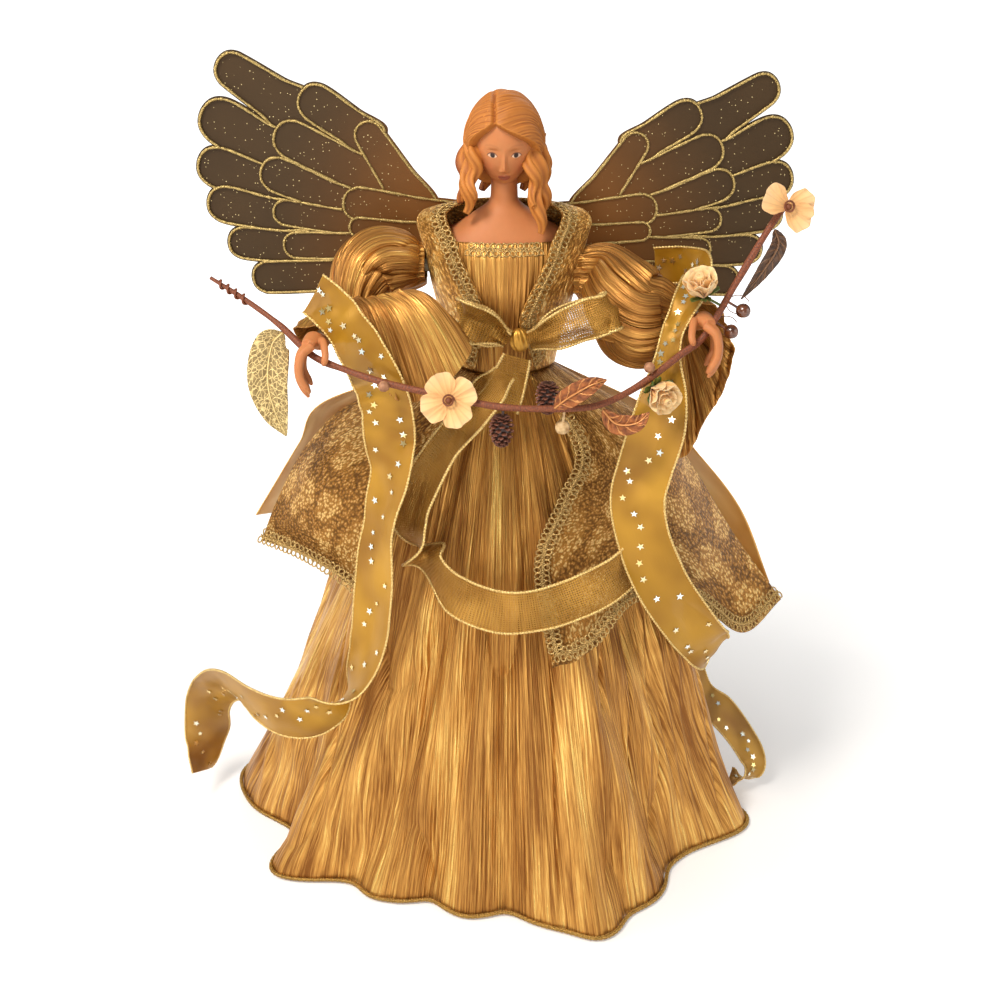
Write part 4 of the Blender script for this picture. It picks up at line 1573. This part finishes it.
for name, side in (("left", -1), ("right", 1)):
    plates = []
    for layer, shares in enumerate(feather_shares):
        outline = feather_outline(shares, 120)
        front = wing_plane_back + wing_panel_thickness / 2 - layer * 0.06
        rings = [wing_place(side, outline, front),
                 wing_place(side, outline, front - wing_panel_thickness * 0.5)]
        inner = feather_outline(shares, 120, 1.6)
        rings.append(wing_place(side, inner, front - wing_panel_thickness * 0.5 - 0.12))
        plates.append(rings_part(rings))
    add_piece(f"{name}_wing_satin", f"{name}_wing_panel", plates, bronze,
              f"{name}_wing", smooth=False)
    wires = []
    for layer, shares in enumerate(feather_shares):
        outline = feather_outline(shares, 260, feather_border)
        hidden = np.zeros(len(outline), bool)
        for cover in feather_shares[layer + 1:]:
            hidden |= inside(outline, feather_outline(cover, 120, feather_border))
        if not hidden.any():
            runs = [np.arange(len(outline) + 1)]
        else:
            first = int(np.argmax(hidden))
            order = (np.arange(len(outline)) + first) % len(outline)
            runs, run = [], []
            for spot in order:
                if hidden[spot]:
                    if len(run) > 6:
                        runs.append(run)
                    run = []
                else:
                    run.append(spot)
            if len(run) > 6:
                runs.append(run)
        for run in runs:
            path = outline[np.array(run) % len(outline)]
            places = wing_place(side, path, frame_plane_back + 0.65)
            reach = np.linspace(0, len(run) * 0.35, len(run))
            lumpy = 0.62 + 0.16 * grain(reach, 0 * reach, 0.9, 1, 101 + layer)
            wires.append(tube_part(places, wing_wire_radius * lumpy, 8))
    eye_radius = staple_wire_radius + fit_gap + wing_wire_radius
    angle = np.linspace(0, 2 * math.pi, 40, endpoint=False)
    for share in (0.3, 0.7):
        eye = np.stack([side * staple_side + np.cos(angle) * (eye_radius + fit_gap / 2),
                        staple_back + np.sin(angle) * (eye_radius + fit_gap / 2),
                        np.full(40, staple_top - share * staple_height)], 1)
        wires.append(tube_part(eye, wing_wire_radius, 10, closed=True))
    bar_side = side * (staple_side + eye_radius + fit_gap)
    bar_back = staple_back + wing_wire_radius
    bar = spline(np.array([
        [bar_side, bar_back, staple_top - 0.8 * staple_height],
        [bar_side, bar_back, staple_top - 0.3 * staple_height],
        [bar_side + side * wing_wire_radius, frame_plane_back, staple_top],
        [side * (wing_root_side + wing_reach * 0.03), frame_plane_back,
         wing_root_height + wing_reach * 0.11]]),
        np.linspace(0, 1, 60))
    wires.append(tube_part(bar, wing_wire_radius, 10))
    add_piece(f"{name}_wing_glitter_wire", f"{name}_wing_frame", wires, glitter_wire,
              f"{name}_wing")

# Staples: bent steel wire pushed through the back of the vest into the form.
steel, tree, shader, place = new_finish("bright_steel_wire", Metallic=1.0, Roughness=0.32)
drawn = noise(tree, place, 900, 3)
tone_by(tree, shader, drawn, (0, "#77746c"), (1, "#b4b0a6"))
for node_name in ("left_wing_staple", "right_wing_staple"):
    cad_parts[node_name].material_slots[0].material = steel

# Garland flowers. Petals of stiffened silk are cupped, veined and tinted peach at the base. The
# hydrangeas sit round a curl of wire, and each rose is rolled round a bud over green sepals.
petal_length, petal_width, rose_radius = 13, 13.5, 8.5


def off_stem(side_share, sideways, forward, up):
    return on_stem(side_share) + (sideways, -forward, up)


def flower_plane(facing):
    """The normal that a flower looks along, and right and up in its plane."""
    normal = np.array(facing, float) / np.linalg.norm(facing)
    right = np.cross((0, 0, 1), normal)
    right /= np.linalg.norm(right)
    return normal, right, np.cross(normal, right)


def petal_part(base, along, facing, length, width, cup, seed, curl=0.0):
    """Closed thin petal, cupped along its normal, with mm across and along it as its map."""
    forward = along / np.linalg.norm(along)
    across = np.cross(facing, forward)
    across /= np.linalg.norm(across)
    normal = np.cross(forward, across)

    def place_at(longitude, latitude):
        level = np.cos(latitude)
        rim = 1 + 0.03 * np.sin(longitude * 7 + seed) * level ** 4 - 0.05 * blob(longitude / 0.3)
        out, over = np.cos(longitude) * level * rim, np.sin(longitude) * level * rim
        bow = 0.25 * (1 + out) ** 2 + 0.3 * over ** 2 - curl * np.clip(out, 0, 1) ** 3
        ruffle = 0.035 * np.sin(over * 6 + seed) * (1 + out)
        veins = 0.1 * np.cos(np.arctan2(over, 1.15 + out) * 22) * level
        rise = (cup * bow + ruffle) * length + np.sin(latitude) * 0.35 + veins
        return (base + forward * (length / 2 * (1 + out))[..., None]
                + across * (width / 2 * over * (1 + 0.25 * out))[..., None] + normal
                * rise[..., None])

    part = ball_part(place_at, 60, 26)
    offset = part["points"] - base
    flat = np.stack([offset @ across, offset @ forward], 1)
    part["map"] = flat[np.concatenate([np.array(face) for face in part["faces"]])]
    return part


def wire_part(places, radius, sides=8):
    """Thin wire through places."""
    return tube_part(spline(np.array(places), np.linspace(0, 1, 16 * len(places))), radius, sides)


def pick_part(start):
    """Wire from a flower or a fruit to just inside the tape of the stem."""
    near = stem_path[np.argmin(np.linalg.norm(stem_path - start, axis=1))]
    outward = (start - near) / np.linalg.norm(start - near)
    return wire_part([start, near + outward * stem_radius * 0.8], 0.6)


def petal_finish(name, base_hex, middle_hex, rim_hex):
    """Silk petal: tinted from its base to its rim, with fine veins fanned out from the base."""
    finish, tree, shader, place = new_finish(name, True, Roughness=0.7, Sheen_Weight=0.3,
                                             Subsurface_Weight=0.12)
    parts = add_node(tree, "SeparateXYZ", {0: place})
    reach = remap(tree, parts.outputs["Y"], 0, 14)
    cloud = noise(tree, place, 0.35, 3)
    wander = maths(tree, "MULTIPLY_ADD", cloud, 0.35, -0.17)
    spread = maths(tree, "ADD", reach, wander)
    tone = add_ramp(tree, spread, (0.05, base_hex), (0.5, middle_hex), (0.98, rim_hex))
    past_base = maths(tree, "ADD", parts.outputs["Y"], 2.5)
    fan = maths(tree, "ARCTAN2", parts.outputs["X"], past_base)
    waves = maths(tree, "MULTIPLY", fan, 26)
    veins = maths(tree, "COSINE", waves)
    thin = remap(tree, veins, 0.55, 1.0, 1.0, 0.86)
    veined = maths(tree, "MULTIPLY", tone, thin, kind="VectorMath")
    join(veined, shader, "Base Color")
    add_bump(tree, shader, veins, 0.3, 0.0003)
    return finish


hydrangea_silk = petal_finish("peach_petal_silk", "#e0a05c", "#fabf7c", "#fdcb90")
rose_silk = petal_finish("cream_rose_silk", "#cf8f48", "#f2c27c", "#f8d79c")
sepal_green, tree, shader, place = new_finish("green_sepal_paper", Roughness=0.6)
mottle = noise(tree, place, 700, 3)
tone_by(tree, shader, mottle, (0, "#2c3a12"), (1, "#6f8030"))

in_front = stem_radius + fit_gap + petal_length * 0.2
stem_end = stem_path[-1] + (0, -in_front, 0)
flat_flowers = {
    "centre_hydrangea": (off_stem(-0.19, 0, in_front, 0), (0, -1, 0.3), [28, 118, 205, 300]),
    "end_hydrangea": (stem_end, (0.25, -1, 0.25), [5, 150, 320]),
}
for name, (centre, facing, angles) in flat_flowers.items():
    normal, right, up = flower_plane(facing)
    parts = []
    for index, degrees in enumerate(angles):
        angle = math.radians(degrees)
        out = right * math.cos(angle) + up * math.sin(angle)
        parts.append(petal_part(centre + normal * 0.12 * index, out, normal, petal_length,
                                petal_width, 0.12, index))
    # The wire curls once round the middle of the flower, with a bead of the same tape in it.
    turn = np.linspace(0, 2.2 * math.pi, 60)
    ring = 2.6 * (1 - 0.25 * turn / turn[-1])
    curl = (centre + normal * (2.2 + 0.12 * turn)[:, None]
            + right * (np.cos(turn) * ring)[:, None] + up * (np.sin(turn) * ring)[:, None])
    parts.append({**tube_part(curl, 0.42, 8), "finish": 1})
    parts.append({**ball_part(lambda longitude, latitude: centre + normal * 1.4 + 1.5 * np.stack([
        np.sin(longitude) * np.cos(latitude), np.cos(longitude) * np.cos(latitude),
        np.sin(latitude) + 0 * longitude], -1), 20, 12), "finish": 1})
    parts.append({**pick_part(centre), "finish": 1})
    add_piece(f"{name}_silk", name, parts, [hydrangea_silk, taped])

roses = {
    "upper_rose": (off_stem(0.72, -petal_length * 0.45, 0, rose_radius * 2.1), (-0.3, -0.5, 1)),
    "lower_rose": (off_stem(0.54, 0, rose_radius, -rose_radius), (0.4, -0.9, -0.3)),
}
for name, (centre, facing) in roses.items():
    normal, right, up = flower_plane(facing)
    base = centre - normal * rose_radius * 0.7
    parts = []
    for count, lean, length, width, start in ((5, 0.78, 1.6, 1.45, 0.2), (4, 0.5, 1.5, 1.2, 0.9),
                                              (3, 0.24, 1.42, 0.9, 0)):
        for index in range(count):
            angle = start + index / count * 2 * math.pi
            out = right * math.cos(angle) + up * math.sin(angle)
            parts.append(petal_part(base + out * 0.35, normal + out * lean, normal - out,
                                    rose_radius * length,
                                    rose_radius * width, 0.22, index + count, curl=0.5))
    # The heart is one strip of silk rolled up, wider at its foot.
    turn = np.linspace(0, 6 * math.pi, 150)
    wound = 0.5 + 1.9 * turn / turn[-1]
    height = np.linspace(-0.4, 0.82, 14) * rose_radius
    grid = np.stack([centre + normal * level
                     + right * (np.cos(turn) * wound * (1.05 - 0.25 * share))[:, None]
                     + up * (np.sin(turn) * wound * (1.05 - 0.25 * share))[:, None]
                     for level, share in zip(height, np.linspace(0, 1, 14))])
    parts.append(sheet_part(grid, 0.35, (14, 9)))
    for index in range(5):
        angle = 0.5 + index / 5 * 2 * math.pi
        out = right * math.cos(angle) + up * math.sin(angle)
        sepal = petal_part(base - normal * 0.6, normal * 0.35 + out, normal, 8.5, 3.4, 0.1, index)
        parts.append({**sepal, "finish": 1})
    parts.append({**ball_part(lambda longitude, latitude: base - normal * 0.4 + 2.2 * np.stack([
        np.sin(longitude) * np.cos(latitude), np.cos(longitude) * np.cos(latitude),
        np.sin(latitude) + 0 * longitude], -1), 20, 12), "finish": 1})
    parts.append({**pick_part(base), "finish": 1})
    add_piece(f"{name}_silk", name, parts, [rose_silk, sepal_green])

# Pinecones. Small real cones on wire, lacquered, with about nine rings of brown scales that
# have paler purple-brown lips.
pinecone_radius, pinecone_length = 6, 15
cone_scale, tree, shader, place = new_finish("lacquered_cone_scale", True, Roughness=0.42)
lip = add_node(tree, "SeparateXYZ", {0: place})
streak = noise(tree, place, 1.8, 4)
blur = maths(tree, "MULTIPLY_ADD", streak, 1.6, -0.8)
edge = maths(tree, "ADD", lip.outputs["Y"], blur)
reach = remap(tree, edge, 0.6, 4.6)
tone_by(tree, shader, reach, (0.15, "#3c2015"), (0.6, "#86503a"), (0.95, "#d3a190"))

pinecones = {
    "front_pinecone": off_stem(-0.01, 0, 0, -pinecone_length * 0.72),
    "back_pinecone": off_stem(0.15, 0, -pinecone_radius * 1.5, pinecone_radius * 0.4),
}
for name, centre in pinecones.items():
    parts = [ball_part(lambda longitude, latitude: centre + np.stack([
        np.sin(longitude) * np.cos(latitude) * pinecone_radius * 0.55,
        np.cos(longitude) * np.cos(latitude) * pinecone_radius * 0.55,
        np.sin(latitude) * pinecone_length * 0.42 + 0 * longitude], -1), 24, 16)]
    for index in range(84):
        share = (index + 0.5) / 84
        level = math.sin((share - 0.5) * math.pi * 0.94)
        angle = index * 2.39996
        out = np.array([math.sin(angle), -math.cos(angle), 0])
        girth = math.sqrt(max(0.05, 1 - level ** 2)) * (1 + 0.15 * level)
        start = centre + (0, 0, level * pinecone_length * 0.44)
        start = start + out * pinecone_radius * 0.45 * girth
        along = out + np.array([0, 0, -0.55 + 0.5 * level])
        parts.append(petal_part(start, along, (0, 0, -1),
                                pinecone_radius * 0.52 * (0.6 + 0.4 * girth), 2.7, -0.2, index))
    parts.append(pick_part(centre))
    add_piece(f"{name}_scales", name, parts, cone_scale)

# Berries and buds. Papier berries on wire, lacquered glossy brown with a pucker at the foot, and
# small dull buds taped to the stem. Thin loops of wire spring round the two by the right hand.
berry_radius = 3.4


def berry_finish(name, dark_hex, light_hex, roughness, coat):
    """Lacquered berry: mottled brown under a gloss."""
    finish, tree, shader, place = new_finish(name, Roughness=roughness, Coat_Weight=coat)
    mottle = noise(tree, place, 420, 5)
    tone_by(tree, shader, mottle, (0.3, dark_hex), (0.72, light_hex))
    add_bump(tree, shader, mottle, 0.15, 0.0002)
    return finish


dark_berry = berry_finish("brown_lacquered_berry", "#341808", "#7c431c", 0.25, 0.5)
dull_bud = berry_finish("taped_bud", "#7d4f34", "#c08a64", 0.6, 0.0)
pale_bud = berry_finish("pale_bud", "#a57a48", "#e6c794", 0.55, 0.0)
bud_lift = stem_radius + berry_radius + fit_gap
berries = {
    "upper_berry": (off_stem(0.76, berry_radius * 2.6, 0, -berry_radius), 1, dark_berry),
    "lower_berry": (off_stem(0.72, berry_radius * 2.6, 0, -berry_radius), 1, dark_berry),
    "left_stem_bud": (off_stem(-0.414, 0, bud_lift, 0), 0.75, dull_bud),
    "right_stem_bud": (off_stem(0.5, 0, 0, bud_lift), 0.75, dull_bud),
    "lower_bud": (off_stem(0.2, 0, -berry_radius, -berry_radius * 3), 1, pale_bud),
}
for name, (centre, share, finish) in berries.items():
    radius = berry_radius * share

    def berry_place(longitude, latitude):
        pucker = 1 - 0.16 * blob((latitude + math.pi / 2) / 0.5) * (1 + 0.3 * np.cos(longitude * 6))
        reach = radius * pucker * (1 + 0.015 * np.cos(longitude * 6) * np.cos(latitude))
        side, front, up = head_unit(longitude, latitude)
        return centre + np.stack([side * reach, -front * reach, up * reach], -1)

    parts = [ball_part(berry_place, 48, 32), pick_part(centre)]
    if finish is dark_berry:
        turn = np.linspace(0.3, 1.55 * math.pi, 50)
        loop = centre + np.stack([
            -0.75 * radius + 1.5 * radius * np.cos(turn), 0.4 * radius * np.sin(turn),
            0.9 * radius + 1.15 * radius * np.sin(turn)], 1)
        parts.append(tube_part(loop, 0.22, 6))
    add_piece(f"{name}_lacquered", name, parts, finish)

# Leaves. Cut from silk and foil, with a wired midrib and pressed side veins: one long leaf gilded
# in a net of veins, one dark brown, and two copper ones that curl at the edges.
def leaf_finish(name, dark_hex, light_hex, vein_hex, metallic, roughness, net):
    """Pressed leaf: mottled, with a lighter midrib and veins slanting off it, or a net of them."""
    finish, tree, shader, place = new_finish(name, True, Roughness=roughness, Metallic=metallic)
    parts = add_node(tree, "SeparateXYZ", {0: place})
    side = maths(tree, "ABSOLUTE", parts.outputs["X"])
    slant = maths(tree, "MULTIPLY_ADD", side, -0.8, parts.outputs["Y"])
    cloud = noise(tree, place, 0.4, 4)
    bends = maths(tree, "MULTIPLY", cloud, 5)
    waves = maths(tree, "MULTIPLY_ADD", slant, 1.6, bends)
    ripple = maths(tree, "SINE", waves)
    ribs = remap(tree, ripple, 0.8, 1.0)
    rib = remap(tree, side, 0.25, 0.6, 1.0, 0.0)
    cells = add_node(tree, "TexVoronoi", {"Vector": place, "Scale": 0.42},
                     feature="DISTANCE_TO_EDGE")
    mesh = remap(tree, cells, 0.04, 0.1, net, 0.0)
    some = maths(tree, "MAXIMUM", ribs, rib)
    veins = maths(tree, "MAXIMUM", some, mesh)
    tone = add_ramp(tree, cloud, (0.32, dark_hex), (0.68, light_hex))
    both = add_node(tree, "Mix", {"Factor": veins, 6: tone, 7: colour(vein_hex)}, data_type="RGBA")
    join(both.outputs[2], shader, "Base Color")
    add_bump(tree, shader, veins, 0.5, 0.0005)
    return finish


gilded = leaf_finish("gilded_skeleton_leaf", "#76603a", "#a8905e", "#f2d896", 0.5, 0.35, 0.8)
umber = leaf_finish("dark_pressed_leaf", "#2d1c10", "#5a3b22", "#7a573a", 0.1, 0.45, 0.0)
copper = leaf_finish("copper_pressed_leaf", "#5a2c14", "#a6602c", "#cc8c50", 0.45, 0.38, 0.0)
leaf_rows = {
    "gold_leaf": (-0.79, 60, 19, (1, 0.2, 0), gilded, "foil_leaf", [
        [0.02, 0.01, -0.055], [-0.07, 0.02, -0.16], [-0.12, 0.03, -0.445], [-0.08, 0.02, -0.71],
        [-0.01, 0, -0.91]]),
    "dark_leaf": (0.91, 30, 7.8, (1, 0, -0.4), umber, "dark_leaf", [
        [0.08, 0, -0.03], [0.14, 0.07, -0.27], [-0.06, 0.08, -0.65], [-0.36, 0.08, -1.08]]),
    "upper_bronze_leaf": (0.16, 24, 9.6, (-0.4, 0.2, 1), copper, "bronze_leaf", [
        [0.05, 0.09, 0.04], [0.3, 0.12, 0.25], [0.7, 0.14, 0.5], [1, 0.1, 0.6]]),
    "lower_bronze_leaf": (0.33, 24, 9.6, (-0.3, 0.2, 1), copper, "bronze_leaf", [
        [0.03, 0.05, -0.09], [0.3, 0.14, -0.34], [0.66, 0.2, -0.3], [0.9, 0.16, -0.1]]),
}
for index, (name, leaf) in enumerate(leaf_rows.items()):
    start, length, width, across, finish, slot, rows = leaf
    places = on_stem(start) + np.array(rows) * (length, -length, length)
    share = np.linspace(0, 1, 91)
    blade = np.maximum(0.06, np.clip(np.sin(math.pi * share ** 0.8), 0, 1) ** 0.8)
    directions = np.tile(np.array(across, float), (len(places), 1))
    grid = strip_grid(places, directions, width * blade, 90, 27)
    along, column = np.meshgrid(share * length, np.linspace(-1, 1, 27), indexing="ij")
    ribs = 0.16 * np.sin((along - 0.8 * np.abs(column) * width / 2) * 2.1)
    waved = (0.5 * grain(along, column * 4, 6, 5, 111 + index) * np.abs(column) + ribs
             - 1.1 * (1 - np.abs(column)) ** 2 * blade[:, None])
    grid = grid + face_normals(grid) * (waved * 0.7)[..., None]
    part = sheet_part(grid, 0.35, (width, length))
    flat = part["map"] - (width / 2, 0)
    part["map"] = flat
    rib = tube_part(spline(places, np.linspace(0, 1, 70)), np.linspace(0.5, 0.22, 70), 7)
    add_piece(f"{name}_pressed", name, [part, rib], finish)
